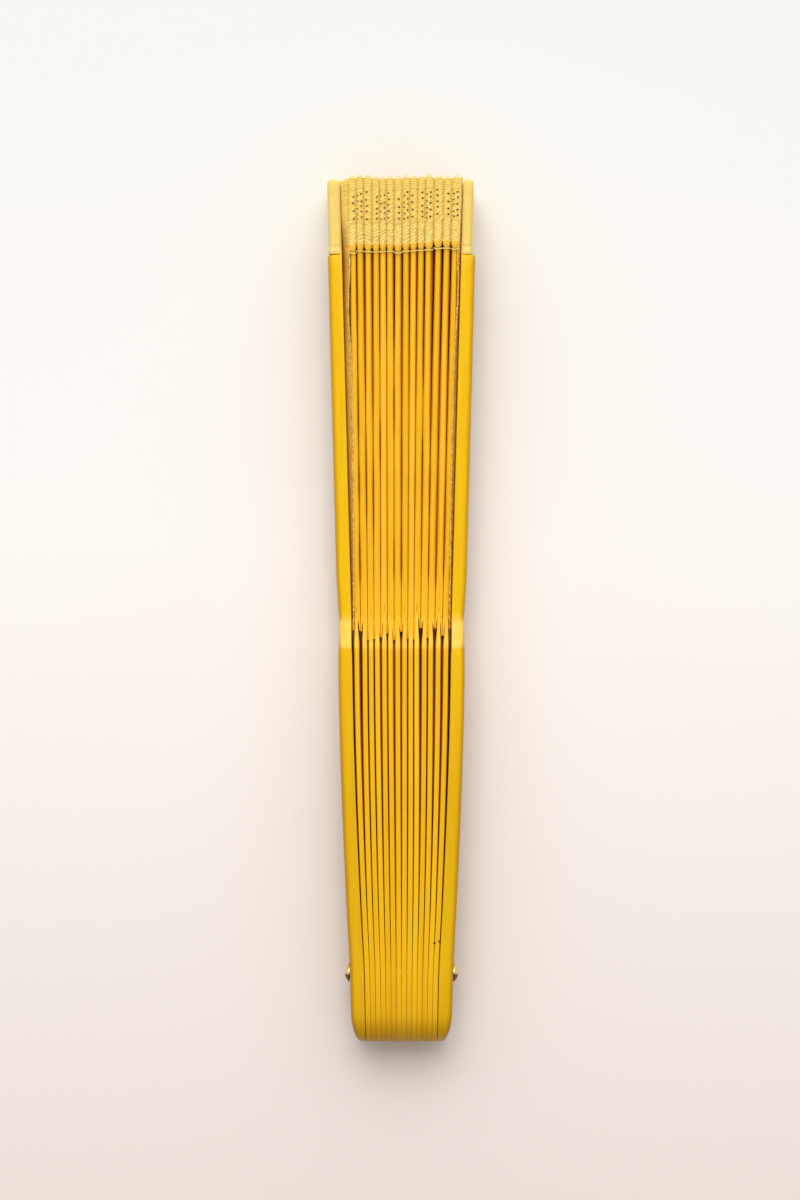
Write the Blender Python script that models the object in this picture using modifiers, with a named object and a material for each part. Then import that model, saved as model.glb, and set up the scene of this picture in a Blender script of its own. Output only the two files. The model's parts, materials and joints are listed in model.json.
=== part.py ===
"""A folding hand fan, closed and lying on the edges of its sticks.

The rivet runs along X, the sticks run along +Y from the rivet to their tips, and +Z is up.
The origin is under the middle of the fan, on the surface that it lies on.
Every shape is written about the rivet: x across the pack, r along the stick and z from its middle plane.
"""

import math
from collections import namedtuple

import bmesh
import bpy
from mathutils import Matrix, Vector

MM = 0.001

# The whole fan
FAN_LENGTH = 230.0 * MM
END_TO_RIVET = 18.3 * MM
OPENING_ANGLE = math.radians(172.5)

# Outline shared by the sticks, seen from the side of the pack
STICK_WIDTH = 22.0 * MM
END_WIDTH = 17.0 * MM
FULL_WIDTH_AT = 50.0 * MM
WAIST_AT = 86.0 * MM
SHOULDER_LENGTH = 7.5 * MM

# Ribs
RIB_THICKNESS = 1.15 * MM
RIB_TIP_THICKNESS = 0.8 * MM
RIB_NECK_WIDTH = 7.0 * MM
STICK_GAP = 0.24 * MM

# Guards
GUARD_THICKNESS = 3.75 * MM
GUARD_NECK_WIDTH = 15.0 * MM
GUARD_NECK_AT = 98.0 * MM
GUARD_EDGE_RADIUS = 1.3 * MM
GUARD_END_LENGTH = 8.8 * MM
GUARD_END_THICKNESS = 0.7 * MM
GUARD_WAIST_CUT = 0.4 * MM
GUARD_WAIST_LENGTH = 26.0 * MM
GUARD_TIP_RADIUS = 2.0 * MM

# How far the pack spreads from the rivet to the waist and from the waist to the border, in all
END_PINCH = 0.8 * MM
WAIST_SPREAD = 6.3 * MM
TOP_SPREAD = 5.4 * MM

# Leaf, border and the cloth blocks over the guard tips
CLOTH_CLEARANCE = 0.1 * MM
LEAF_WALL = 0.2 * MM
LEAF_START = 95.0 * MM
PLEAT_SLACK = 0.1 * MM
BORDER_HEIGHT = 21.0 * MM
BORDER_WALL = 0.3 * MM
SEAM_GAP = 0.3 * MM
RIB_TIP_INSET = 4.0 * MM
BLOCK_WALL = 0.45 * MM
BLOCK_INSET = 1.6 * MM
BLOCK_FLOOR = 0.6 * MM

# Rivet
SHAFT_DIAMETER = 2.6 * MM
BORE_CLEARANCE = 0.15 * MM
HEAD_DIAMETER = 5.0 * MM
HEAD_HEIGHT = 1.35 * MM
HEAD_RIM = 0.35 * MM
HEAD_GAP = 0.05 * MM
CAP_BORE_DEPTH = 0.9 * MM
BORE_OVERRUN = 1.0 * MM

# Shares of the free room in the gaps from the left guard to the right one, at the waist and at the border
WAIST_GAP_SHARES = (7, 12, 4, 4, 8, 3, 8.5, 6.5, 3.5, 2.5, 10.5, 4, 10, 10, 9)
BORDER_GAP_SHARES = (23.5, 3.2, 5.9, 5.6, 2.2, 2.8, 6, 5.5, 4, 3.9, 4.5, 10.5, 7, 6.4, 9.9)
END_FLAT_SHARE = 0.12
SPREAD_EASE = 1.5

# Fineness of the shapes along the sticks and round their curves
END_STEPS = 6
TAPER_STEPS = 3
STRAIGHT_STEPS = 2
SHOULDER_STEPS = 6
RIB_TIP_STEPS = 9
GUARD_TIP_STEPS = 6
LEAF_STEPS = 6
BORDER_STEPS = 2
ROUND_STEPS = 3
FOLD_STEPS = 4
RIVET_STEPS = 28

# Worked out from the sizes above
RIB_COUNT = len(WAIST_GAP_SHARES) - 1
STICK_TURN = OPENING_ANGLE / (RIB_COUNT + 1)
MIDDLE_HEIGHT = STICK_WIDTH / 2
RIVET_Y = -FAN_LENGTH / 2 + END_TO_RIVET
TOP_AT = FAN_LENGTH - END_TO_RIVET
BORDER_AT = TOP_AT - BORDER_HEIGHT
NECK_AT = WAIST_AT + SHOULDER_LENGTH
FOLD_WIDTH = RIB_TIP_THICKNESS + 2 * (CLOTH_CLEARANCE + LEAF_WALL)
BORDER_WIDTH = RIB_TIP_THICKNESS + 2 * (CLOTH_CLEARANCE + BORDER_WALL)
ROOM_AT_RIVET = RIB_COUNT * RIB_THICKNESS + (RIB_COUNT + 1) * STICK_GAP
BORE_RADIUS = SHAFT_DIAMETER / 2 + BORE_CLEARANCE

# One of the two strips of cloth: its lower and upper end along the sticks, and how its pleats are made
Cloth = namedtuple("Cloth", "start end width wall steps material")

COLOURS = {
    "guard_lacquer": ((0.74, 0.47, 0.03, 1.0), 0.35, 0.0),
    "rib_wood": ((0.80, 0.46, 0.05, 1.0), 0.45, 0.0),
    "leaf_cloth": ((0.86, 0.55, 0.10, 1.0), 0.80, 0.0),
    "border_lace": ((0.90, 0.68, 0.22, 1.0), 0.85, 0.0),
    "rivet_brass": ((0.72, 0.50, 0.16, 1.0), 0.25, 1.0),
}


def eased(share):
    """A share from 0 to 1 with a level start and end."""
    share = min(max(share, 0.0), 1.0)
    return share * share * (3 - 2 * share)


def spread(start, end, count):
    """Evenly spaced values from start to end, both included."""
    return [start + (end - start) * step / count for step in range(count + 1)]


def room_at(r):
    """Distance between the inner faces of the two guards."""
    if r <= 0:
        return ROOM_AT_RIVET + END_PINCH * r / END_TO_RIVET
    if r <= WAIST_AT:
        return ROOM_AT_RIVET + WAIST_SPREAD * (1 - (1 - r / WAIST_AT) ** SPREAD_EASE)
    return ROOM_AT_RIVET + WAIST_SPREAD + TOP_SPREAD * (r - WAIST_AT) / (BORDER_AT - WAIST_AT)


def places_for(room, width, shares):
    """Centres of the ribs when each takes this width and the gaps share what is left of the room."""
    unit = (room - RIB_COUNT * width) / sum(shares)
    edge = -room / 2
    centres = []
    for gap in shares[:-1]:
        centres.append(edge + gap * unit + width / 2)
        edge = centres[-1] + width / 2
    return centres


def centre_at(index, r):
    """x of a rib's middle: even at the rivet, as the tables say at the waist and the border, straight between those."""
    even = (1,) * (RIB_COUNT + 1)
    widest = max(RIB_THICKNESS, FOLD_WIDTH)
    waist = places_for(room_at(WAIST_AT), widest, WAIST_GAP_SHARES)[index]
    border = places_for(room_at(BORDER_AT), max(widest, BORDER_WIDTH), BORDER_GAP_SHARES)[index]
    if r > WAIST_AT:
        return waist + (border - waist) * (r - WAIST_AT) / (BORDER_AT - WAIST_AT)
    share = eased(r / WAIST_AT)
    low = places_for(room_at(r), RIB_THICKNESS, even)[index]
    high = places_for(room_at(r), widest, WAIST_GAP_SHARES)[index]
    return low + (high - low) * share


def half_width_at(r):
    """Half of a stick's width up to the waist: a round end, a taper and a straight stretch."""
    end_centre = END_WIDTH / 2 - END_TO_RIVET
    if r < end_centre:
        return math.sqrt(max((END_WIDTH / 2) ** 2 - (end_centre - r) ** 2, 0.0))
    taper = min((r - end_centre) / (FULL_WIDTH_AT - end_centre), 1.0)
    return (END_WIDTH + (STICK_WIDTH - END_WIDTH) * taper) / 2


def rib_half_width_at(r):
    full = half_width_at(r)
    return full + (RIB_NECK_WIDTH / 2 - full) * eased((r - WAIST_AT) / SHOULDER_LENGTH)


def guard_half_width_at(r):
    """A guard narrows past the waist and widens again to its tip, so the fan lies level."""
    full = half_width_at(r)
    if r <= GUARD_NECK_AT:
        return full + (GUARD_NECK_WIDTH / 2 - full) * eased((r - WAIST_AT) / (GUARD_NECK_AT - WAIST_AT))
    widening = (r - GUARD_NECK_AT) / (BORDER_AT - GUARD_NECK_AT)
    return (GUARD_NECK_WIDTH + (STICK_WIDTH - GUARD_NECK_WIDTH) * eased(widening)) / 2


def pleat_depth_at(r):
    """Half the height of a pleat: two pleats side by side span one stick's turn when the fan is open."""
    return r * STICK_TURN / 4 + PLEAT_SLACK


def end_stations():
    """Places along the round end, closer together where the outline turns."""
    radius = END_WIDTH / 2
    steps = [step + END_FLAT_SHARE for step in range(END_STEPS + 1)]
    angles = [math.pi / 2 * step / steps[-1] for step in steps]
    return [-END_TO_RIVET + radius - radius * math.cos(angle) for angle in angles]


def stick_stations(neck_at):
    """Places along a stick up to its neck."""
    straight = spread(0.0, FULL_WIDTH_AT, TAPER_STEPS) + spread(FULL_WIDTH_AT, WAIST_AT, STRAIGHT_STEPS)[1:]
    return end_stations() + straight + spread(WAIST_AT, neck_at, SHOULDER_STEPS)[1:]


def make_material(name):
    colour, roughness, metallic = COLOURS[name]
    material = bpy.data.materials.new(name)
    material.use_nodes = True
    shader = material.node_tree.nodes["Principled BSDF"]
    shader.inputs["Base Color"].default_value = colour
    shader.inputs["Roughness"].default_value = roughness
    shader.inputs["Metallic"].default_value = metallic
    material.diffuse_color = colour
    return material


def make_collection(name):
    collection = bpy.data.collections.new(name)
    bpy.context.scene.collection.children.link(collection)
    return collection


def make_object(name, mesh, pivot):
    """A node of the fan, with its origin on the rivet's axis."""
    obj = bpy.data.objects.new(name, mesh)
    FAN.objects.link(obj)
    obj.parent = pivot
    return obj


def finish_mesh(obj, material, sharp=math.radians(35)):
    obj.data.materials.append(MATERIALS[material])
    obj.data.shade_smooth()
    obj.data.set_sharp_from_angle(angle=sharp)


def make_strip(name, stations, columns, place, pivot):
    """An open sheet: one row of points for each station, placed by place(station, column)."""
    mesh = bpy.data.meshes.new(name)
    grid = bmesh.new()
    bmesh.ops.create_grid(grid, x_segments=len(stations) - 1, y_segments=columns - 1, size=1.0)
    for vertex in grid.verts:
        row = round((vertex.co.x + 1) / 2 * (len(stations) - 1))
        column = round((vertex.co.y + 1) / 2 * (columns - 1))
        vertex.co = place(stations[row], column)
    grid.to_mesh(mesh)
    grid.free()
    return make_object(name, mesh, pivot)


def add_wall(obj, thickness, group=None, thinnest=1.0):
    solidify = obj.modifiers.new("wall", "SOLIDIFY")
    solidify.thickness = thickness
    solidify.offset = 0.0
    solidify.use_even_offset = True
    if group:
        solidify.vertex_group = group
        solidify.thickness_vertex_group = thinnest
    return solidify


def bore(obj):
    cut = obj.modifiers.new("rivet_bore", "BOOLEAN")
    cut.operation = "DIFFERENCE"
    cut.solver = "EXACT"
    cut.object = BORE_CUTTER


def make_rib(index, pivot):
    """A thin slat: a bent strip with a wall, thinner above the waist, bored for the rivet."""
    tip_at = TOP_AT - RIB_TIP_INSET
    stations = stick_stations(NECK_AT) + spread(NECK_AT, tip_at, RIB_TIP_STEPS)[1:]

    def place(r, column):
        half = rib_half_width_at(r)
        return (centre_at(index, r), r, half if column else -half)

    rib = make_strip(f"rib_{index + 1:02d}", stations, 2, place, pivot)
    group = rib.vertex_groups.new(name="thickness")
    for vertex in rib.data.vertices:
        group.add([vertex.index], 1 - eased((vertex.co.y - WAIST_AT) / SHOULDER_LENGTH), "REPLACE")
    add_wall(rib, RIB_THICKNESS, "thickness", RIB_TIP_THICKNESS / RIB_THICKNESS)
    bore(rib)
    finish_mesh(rib, "rib_wood")


def guard_faces_at(r):
    """Inner and outer face of a guard, as distances from the middle of the pack."""
    inner = room_at(r) / 2
    outer = inner + GUARD_THICKNESS
    rounding = -END_TO_RIVET + GUARD_END_LENGTH
    if r < rounding:
        along = (rounding - r) / GUARD_END_LENGTH
        bulge = math.sqrt(max(1 - along * along, 0.0))
        return inner, inner + GUARD_END_THICKNESS + (GUARD_THICKNESS - GUARD_END_THICKNESS) * bulge
    from_waist = abs(r - NECK_AT) / (GUARD_WAIST_LENGTH / 2)
    return inner, outer - GUARD_WAIST_CUT * (1 - eased(from_waist))


def guard_section(inner, outer, half):
    """One ring of a guard: square towards the pack, rounded on its two outer edges."""
    radius = min(GUARD_EDGE_RADIUS, (outer - inner) / 2, half / 2)
    ring = [(inner, -half), (inner, half)]
    for turn in spread(0, math.pi / 2, ROUND_STEPS):
        ring.append((outer - radius + radius * math.sin(turn), half - radius + radius * math.cos(turn)))
    for turn in spread(math.pi / 2, 0, ROUND_STEPS):
        ring.append((outer - radius + radius * math.sin(turn), radius - half - radius * math.cos(turn)))
    return ring


def guard_tip_section(r):
    """A ring of the thin tip, clear of the cloth block's walls."""
    inner, outer = guard_faces_at(r)
    step = BLOCK_WALL + CLOTH_CLEARANCE
    half = guard_half_width_at(BORDER_AT) - step - CLOTH_CLEARANCE
    return guard_section(inner + step, outer - step, half)


def guard_rings():
    """The guard's rings as (r, ring), from the round end to the thin tip inside the cloth block."""
    stations = stick_stations(GUARD_NECK_AT)
    shoulder = BORDER_AT - GUARD_TIP_RADIUS
    stations += spread(GUARD_NECK_AT, shoulder, GUARD_TIP_STEPS)[1:]
    rings = [(r, guard_section(*guard_faces_at(r), guard_half_width_at(r))) for r in stations]
    for turn in spread(0, math.pi / 2, ROUND_STEPS)[1:-1]:
        r = shoulder + (GUARD_TIP_RADIUS - SEAM_GAP) * math.sin(turn)
        inner, outer = guard_faces_at(r)
        rounded = (BLOCK_WALL + 2 * CLOTH_CLEARANCE) * (1 - math.cos(turn))
        rings.append((r, guard_section(inner, outer - rounded, guard_half_width_at(r) - rounded)))
    tip_at = TOP_AT - BLOCK_INSET - BLOCK_WALL - BLOCK_FLOOR
    return rings + [(r, guard_tip_section(r)) for r in (BORDER_AT - SEAM_GAP, tip_at)]


def make_guard(name, side, pivot):
    """A thick outer stick, lofted through its rings and bored for the rivet."""
    mesh = bpy.data.meshes.new(name)
    loft = bmesh.new()
    rows = [[loft.verts.new((side * x, r, z)) for x, z in ring] for r, ring in guard_rings()]
    for low, high in zip(rows, rows[1:]):
        for step in range(len(low)):
            after = (step + 1) % len(low)
            loft.faces.new((low[step], low[after], high[after], high[step]))
    loft.faces.new(rows[0])
    loft.faces.new(rows[-1])
    bmesh.ops.recalc_face_normals(loft, faces=loft.faces)
    loft.to_mesh(mesh)
    loft.free()
    guard = make_object(name, mesh, pivot)
    bore(guard)
    finish_mesh(guard, "guard_lacquer")


def make_fold(name, index, cloth, pivot):
    """One pleat of cloth: over the rib's upper edge and down both of its faces, open below."""
    radius = (cloth.width - cloth.wall) / 2
    arc = spread(math.pi, 0, FOLD_STEPS)

    def place(r, column):
        depth = pleat_depth_at(r) - cloth.wall / 2
        centre = centre_at(index, r)
        if column in (0, FOLD_STEPS + 2):
            return (centre + (radius if column else -radius), r, -depth)
        turn = arc[column - 1]
        return (centre + radius * math.cos(turn), r, depth - radius + radius * math.sin(turn))

    fold = make_strip(name, spread(cloth.start, cloth.end, cloth.steps), FOLD_STEPS + 3, place, pivot)
    add_wall(fold, cloth.wall)
    finish_mesh(fold, cloth.material)


def make_end(name, side, cloth, pivot):
    """The end of the cloth, glued flat to a guard's inner face."""

    def place(r, column):
        depth = pleat_depth_at(r) - PLEAT_SLACK
        face = room_at(r) / 2 - CLOTH_CLEARANCE
        return (side * (face - cloth.wall / 2), r, depth if column else -depth)

    end = make_strip(name, spread(cloth.start, cloth.end, cloth.steps), 2, place, pivot)
    add_wall(end, cloth.wall)
    finish_mesh(end, cloth.material)


def make_block(name, side, pivot):
    """The cloth block over a guard's tip: a pocket that is open below."""
    start, end = BORDER_AT, TOP_AT - BLOCK_INSET
    half = guard_half_width_at(BORDER_AT) - BLOCK_WALL / 2 - CLOTH_CLEARANCE
    mesh = bpy.data.meshes.new(name)
    pocket = bmesh.new()
    bmesh.ops.create_cube(pocket, size=1.0)
    for vertex in pocket.verts:
        r = start + (end - BLOCK_WALL / 2 - start) * (vertex.co.y + 0.5)
        inner = room_at(r) / 2 + BLOCK_WALL / 2
        x = inner + (GUARD_THICKNESS - BLOCK_WALL) * (vertex.co.x + 0.5)
        vertex.co = Vector((side * x, r, 2 * half * vertex.co.z))
    if side < 0:
        bmesh.ops.reverse_faces(pocket, faces=pocket.faces)
    middle = (start + end) / 2
    mouth = [face for face in pocket.faces if all(vertex.co.y < middle for vertex in face.verts)]
    bmesh.ops.delete(pocket, geom=mouth, context="FACES_ONLY")
    pocket.to_mesh(mesh)
    pocket.free()
    block = make_object(name, mesh, pivot)
    add_wall(block, BLOCK_WALL)
    finish_mesh(block, "border_lace")


def head_seat():
    """Distance from the middle of the pack to the underside of a rivet head, clear of the sloping guard."""
    return guard_faces_at(HEAD_DIAMETER / 2)[1] + HEAD_GAP


def dome(rim_x, side):
    """Points of a head's dome from its rim to the axis, as (x, radius)."""
    height = HEAD_HEIGHT - HEAD_RIM
    radius = (HEAD_DIAMETER / 2) ** 2 / (2 * height) + height / 2
    angles = spread(math.asin(HEAD_DIAMETER / 2 / radius), 0.0, FOLD_STEPS + 1)
    base = rim_x + side * (HEAD_RIM + height - radius)
    return [(base + side * radius * math.cos(turn), radius * math.sin(turn)) for turn in angles]


def turn_about_rivet(name, profile, pivot):
    """A turned piece: its profile, as (x, radius) from axis to axis, spun about the rivet's axis."""
    mesh = bpy.data.meshes.new(name)
    outline = bmesh.new()
    points = [outline.verts.new((x, radius, 0.0)) for x, radius in profile]
    for low, high in zip(points, points[1:]):
        outline.edges.new((low, high))
    outline.to_mesh(mesh)
    outline.free()
    turned = make_object(name, mesh, pivot)
    spin = turned.modifiers.new("turn", "SCREW")
    spin.axis = "X"
    spin.steps = RIVET_STEPS
    spin.render_steps = RIVET_STEPS
    spin.use_merge_vertices = True
    spin.merge_threshold = 0.01 * MM
    spin.use_normal_calculate = False
    finish_mesh(turned, "rivet_brass")
    return turned


def make_rivet(pivot):
    """The rivet's shaft with its left head, and the right head closed over the shaft's end."""
    seat = head_seat()
    shaft = SHAFT_DIAMETER / 2
    shaft_end = seat + CAP_BORE_DEPTH - HEAD_GAP
    pin = list(reversed(dome(-seat, -1)))
    pin += [(-seat, HEAD_DIAMETER / 2), (-seat, shaft), (shaft_end, shaft), (shaft_end, 0.0)]
    turn_about_rivet("rivet_pin", list(reversed(pin)), pivot)
    cap = [(seat + CAP_BORE_DEPTH, 0.0), (seat + CAP_BORE_DEPTH, BORE_RADIUS), (seat, BORE_RADIUS)]
    cap += [(seat, HEAD_DIAMETER / 2)] + dome(seat, 1)
    turn_about_rivet("rivet_cap", list(reversed(cap)), pivot)


def make_bore_cutter(pivot):
    """One long cylinder through all the sticks. Its flats stay outside the bore's radius."""
    length = ROOM_AT_RIVET + 2 * (GUARD_THICKNESS + BORE_OVERRUN)
    mesh = bpy.data.meshes.new("bore_cutter")
    cylinder = bmesh.new()
    radius = BORE_RADIUS / math.cos(math.pi / RIVET_STEPS)
    bmesh.ops.create_cone(
        cylinder, cap_ends=True, segments=RIVET_STEPS, radius1=radius, radius2=radius, depth=length
    )
    cylinder.transform(Matrix.Rotation(math.pi / 2, 4, "Y"))
    cylinder.to_mesh(mesh)
    cylinder.free()
    cutter = bpy.data.objects.new("bore_cutter", mesh)
    CUTTERS.objects.link(cutter)
    cutter.parent = pivot
    cutter.hide_render = True
    cutter.display_type = "WIRE"
    return cutter


def make_pivots():
    """One empty on the rivet's axis for each stick, each carried by the one before, as the sticks are."""
    names = ["left_guard"] + [f"rib_{index + 1:02d}" for index in range(RIB_COUNT)] + ["right_guard"]
    pivots = {}
    carrier = None
    for name in names:
        pivot = bpy.data.objects.new(f"{name}_pivot", None)
        FAN.objects.link(pivot)
        pivot.empty_display_size = END_WIDTH / 2
        pivot.parent = carrier
        if carrier is None:
            pivot.location = (0.0, RIVET_Y, MIDDLE_HEIGHT)
        pivots[name] = pivot
        carrier = pivot
    return pivots


def make_leaf_and_border(pivots):
    leaf = Cloth(LEAF_START, BORDER_AT - SEAM_GAP, FOLD_WIDTH, LEAF_WALL, LEAF_STEPS, "leaf_cloth")
    border = Cloth(BORDER_AT, TOP_AT, BORDER_WIDTH, BORDER_WALL, BORDER_STEPS, "border_lace")
    for index in range(RIB_COUNT):
        number = f"{index + 1:02d}"
        pivot = pivots[f"rib_{number}"]
        make_fold(f"leaf_fold_{number}", index, leaf, pivot)
        make_fold(f"border_fold_{number}", index, border, pivot)
    for side, word in ((-1, "left"), (1, "right")):
        pivot = pivots[f"{word}_guard"]
        make_end(f"leaf_end_{word}", side, leaf, pivot)
        make_end(f"border_end_{word}", side, border, pivot)
        make_block(f"guard_block_{word}", side, pivot)


for leftover in list(bpy.data.objects):
    bpy.data.objects.remove(leftover)

FAN = make_collection("folding_hand_fan")
CUTTERS = make_collection("cutters")
MATERIALS = {name: make_material(name) for name in COLOURS}
PIVOTS = make_pivots()
BORE_CUTTER = make_bore_cutter(PIVOTS["left_guard"])

make_guard("left_guard", -1, PIVOTS["left_guard"])
for rib_index in range(RIB_COUNT):
    make_rib(rib_index, PIVOTS[f"rib_{rib_index + 1:02d}"])
make_guard("right_guard", 1, PIVOTS["right_guard"])
make_leaf_and_border(PIVOTS)
make_rivet(PIVOTS["left_guard"])
bpy.context.view_layer.update()
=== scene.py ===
# Closed folding hand fan: lacquered sticks, pleated cloth leaf, lace border and brass rivet
import json
import math
import random
from functools import partial

import bmesh
import bpy
import numpy as np
from mathutils import Matrix, Vector


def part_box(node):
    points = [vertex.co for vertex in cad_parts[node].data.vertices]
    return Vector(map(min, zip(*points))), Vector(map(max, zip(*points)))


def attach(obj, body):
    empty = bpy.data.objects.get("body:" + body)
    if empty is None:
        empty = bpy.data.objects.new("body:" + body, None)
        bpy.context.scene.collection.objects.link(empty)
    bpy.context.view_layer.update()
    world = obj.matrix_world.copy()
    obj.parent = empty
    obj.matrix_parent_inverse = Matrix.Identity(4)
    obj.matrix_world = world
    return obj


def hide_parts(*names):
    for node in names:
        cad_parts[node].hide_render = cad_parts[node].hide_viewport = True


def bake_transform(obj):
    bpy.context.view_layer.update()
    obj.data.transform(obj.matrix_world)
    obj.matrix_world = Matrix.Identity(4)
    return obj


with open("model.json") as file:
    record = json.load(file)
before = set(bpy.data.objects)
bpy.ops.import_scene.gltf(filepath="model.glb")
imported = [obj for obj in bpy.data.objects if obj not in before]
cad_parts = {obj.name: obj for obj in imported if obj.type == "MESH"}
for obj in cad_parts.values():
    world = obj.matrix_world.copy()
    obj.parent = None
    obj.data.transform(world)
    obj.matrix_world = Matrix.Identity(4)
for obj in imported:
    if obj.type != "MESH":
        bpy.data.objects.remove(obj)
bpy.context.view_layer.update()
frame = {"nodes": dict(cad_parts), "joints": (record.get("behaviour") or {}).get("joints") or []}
print("frame loaded:", len(frame["nodes"]), "nodes")

mm = 0.001
hinge = frame["joints"][0]
rivetY, middleZ = hinge["pos_m"][1], hinge["pos_m"][2]
stickTurn = math.radians(hinge["range_deg"][1])  # one stick's turn when the fan is open
ribCount = len(frame["joints"]) - 1
ribNumbers = range(1, ribCount + 1)
bodies = ["left_guard"] + [f"rib_{n:02d}" for n in ribNumbers] + ["right_guard"]
guardSides = ((-1, "left_guard", "left"), (1, "right_guard", "right"))


# Small tools for curves and numbers


def eased(share):
    share = min(max(share, 0.0), 1.0)
    return share * share * (3 - 2 * share)


def through(places, values, at):
    # smooth curve through a few chosen points
    places, values = np.asarray(places, float), np.asarray(values, float)
    at = min(max(at, places[0]), places[-1])
    slope = np.gradient(values, places)
    k = min(max(int(np.searchsorted(places, at)) - 1, 0), len(places) - 2)
    gap = places[k + 1] - places[k]
    t = (at - places[k]) / gap
    ends = values[k] * (1 + 2 * t) * (1 - t) ** 2 + values[k + 1] * t * t * (3 - 2 * t)
    return float(ends + gap * (slope[k] * t * (1 - t) ** 2 - slope[k + 1] * t * t * (1 - t)))


def steps(start, end, size):
    return list(np.linspace(start, end, max(2, round((end - start) / size) + 1)))


def makeRows(start, end, fine, coarse, fineUntil):
    return steps(start, fineUntil, fine) + steps(fineUntil, end, coarse)[1:]


def readStations(node):
    # x of a CAD stick's two faces at each place along it
    points = np.array([v.co for v in frame["nodes"][node].data.vertices])
    points[:, 1] -= rivetY
    aroundBore = np.hypot(points[:, 1], points[:, 2] - middleZ) < 2 * mm
    points = points[~aroundBore]
    order = np.argsort(points[:, 1])
    cuts = np.nonzero(np.diff(points[order, 1]) > 0.15 * mm)[0] + 1
    rows = [points[group] for group in np.split(order, cuts)]
    return np.array([(row[:, 1].mean(), row[:, 0].min(), row[:, 0].max()) for row in rows])


stick = {
    "endToRivet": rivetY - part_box("rib_01")[0].y,
    "topAt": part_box("border_fold_01")[1].y - rivetY,
    "borderAt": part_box("border_fold_01")[0].y - rivetY,
    "width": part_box("left_guard")[1].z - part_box("left_guard")[0].z,
    "endRadius": 8.5 * mm,
    "fullWidthAt": 50 * mm,
    "waistAt": 86 * mm,
    "guardFit": (97 * mm, 189 * mm),
    "endTurns": (math.radians(3), math.pi / 2, 14),
}


def lineOf(places, values, low, high):
    # smooth up to the waist, and the straight line through the last part past it
    past = (places > low) & (places < high)
    slope, start = np.polyfit(places[past], values[past], 1)
    under = places <= stick["waistAt"] + 0.1 * mm

    def at(r):
        if r > stick["waistAt"]:
            return float(start + slope * r)
        return through(places[under], values[under], r)

    return at


guardStations = readStations("right_guard")
innerFace = lineOf(guardStations[:, 0], guardStations[:, 1], *stick["guardFit"])
ribLines = []
for station in [readStations(name) for name in bodies[1:-1]]:
    middles = (station[:, 1] + station[:, 2]) / 2
    ribLines.append(lineOf(station[:, 0], middles, stick["waistAt"] - 1 * mm, stick["topAt"]))


def centreAt(index, r):
    # middle line of a rib; 0 and 15 are the guards' inner faces
    if index in (0, ribCount + 1):
        return innerFace(r) * (1 if index else -1)
    return ribLines[index - 1](r)


def halfWidth(r):
    # half of a stick's width up to the waist
    middle = stick["endRadius"] - stick["endToRivet"]
    if r < middle:
        return math.sqrt(max(stick["endRadius"] ** 2 - (middle - r) ** 2, 0.0))
    taper = min((r - middle) / (stick["fullWidthAt"] - middle), 1.0)
    return stick["endRadius"] + (stick["width"] / 2 - stick["endRadius"]) * taper


def pleatDepth(r):
    return r * stickTurn / 4 + 0.1 * mm


# Small tools for meshes and nodes


def place(x, r, z):
    return Vector((x, rivetY + r, middleZ + z))


def addObject(name, data):
    obj = bpy.data.objects.new(name, data)
    bpy.context.scene.collection.objects.link(obj)
    return obj


def toObject(name, shape):
    mesh = bpy.data.meshes.new(name)
    shape.to_mesh(mesh)
    shape.free()
    return addObject(name, mesh)


def flatten(obj):
    # modifiers into a plain mesh
    bpy.context.view_layer.update()
    graph = bpy.context.evaluated_depsgraph_get()
    mesh = bpy.data.meshes.new_from_object(
        obj.evaluated_get(graph), preserve_all_data_layers=True, depsgraph=graph
    )
    obj.modifiers.clear()
    obj.data = mesh
    mesh.name = obj.name
    return obj


def addWall(obj, thickness):
    solidify = obj.modifiers.new("wall", "SOLIDIFY")
    solidify.thickness = thickness
    solidify.offset = 0.0


def layUv(face, uvLayer, spots):
    for loop, spot in zip(face.loops, spots):
        loop[uvLayer].uv = spot


def writeAttribute(mesh, label, values):
    # a number or a vector on each point
    values = np.array(values, float)
    kind, field = ("FLOAT_VECTOR", "vector") if values.ndim > 1 else ("FLOAT", "value")
    mesh.attributes.new(label, kind, "POINT").data.foreach_set(field, values.ravel())


def finishPiece(obj, material, body, slot, *replaced, smooth=40):
    obj.data.materials.clear()
    obj.data.materials.append(material)
    obj.data.shade_smooth()
    if smooth:
        obj.data.set_sharp_from_angle(angle=math.radians(smooth))
    if replaced:
        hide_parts(*replaced)
    if body:
        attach(obj, body)
    return obj


def addNode(tree, kind, inputs=(), **settings):
    node = tree.nodes.new(kind)
    for key, value in settings.items():
        setattr(node, key, value)
    for key, value in dict(inputs).items():
        if isinstance(value, bpy.types.NodeSocket):
            tree.links.new(value, node.inputs[key])
        else:
            node.inputs[key].default_value = value
    return node


def geo(tree, kind, inputs=(), **settings):
    # first output of a geometry node
    return addNode(tree, f"GeometryNode{kind}", inputs, **settings).outputs[0]


def calc(tree, operation, *values):
    return addNode(tree, "ShaderNodeMath", enumerate(values), operation=operation).outputs[0]


def vectorCalc(tree, operation, first, second, result="Vector"):
    inputs = {0: first, 1: second}
    return addNode(tree, "ShaderNodeVectorMath", inputs, operation=operation).outputs[result]


def parted(tree, vector):
    return addNode(tree, "ShaderNodeSeparateXYZ", {"Vector": vector}).outputs


def startTree(name, *sockets):
    tree = bpy.data.node_groups.new(name, "GeometryNodeTree")
    for label, kind, value in (("Geometry", "Geometry", None), *sockets):
        socket = tree.interface.new_socket(label, in_out="INPUT", socket_type=f"NodeSocket{kind}")
        if value is not None:
            socket.default_value = value
    tree.interface.new_socket("Geometry", in_out="OUTPUT", socket_type="NodeSocketGeometry")
    return tree, tree.nodes.new("NodeGroupInput").outputs


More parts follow.
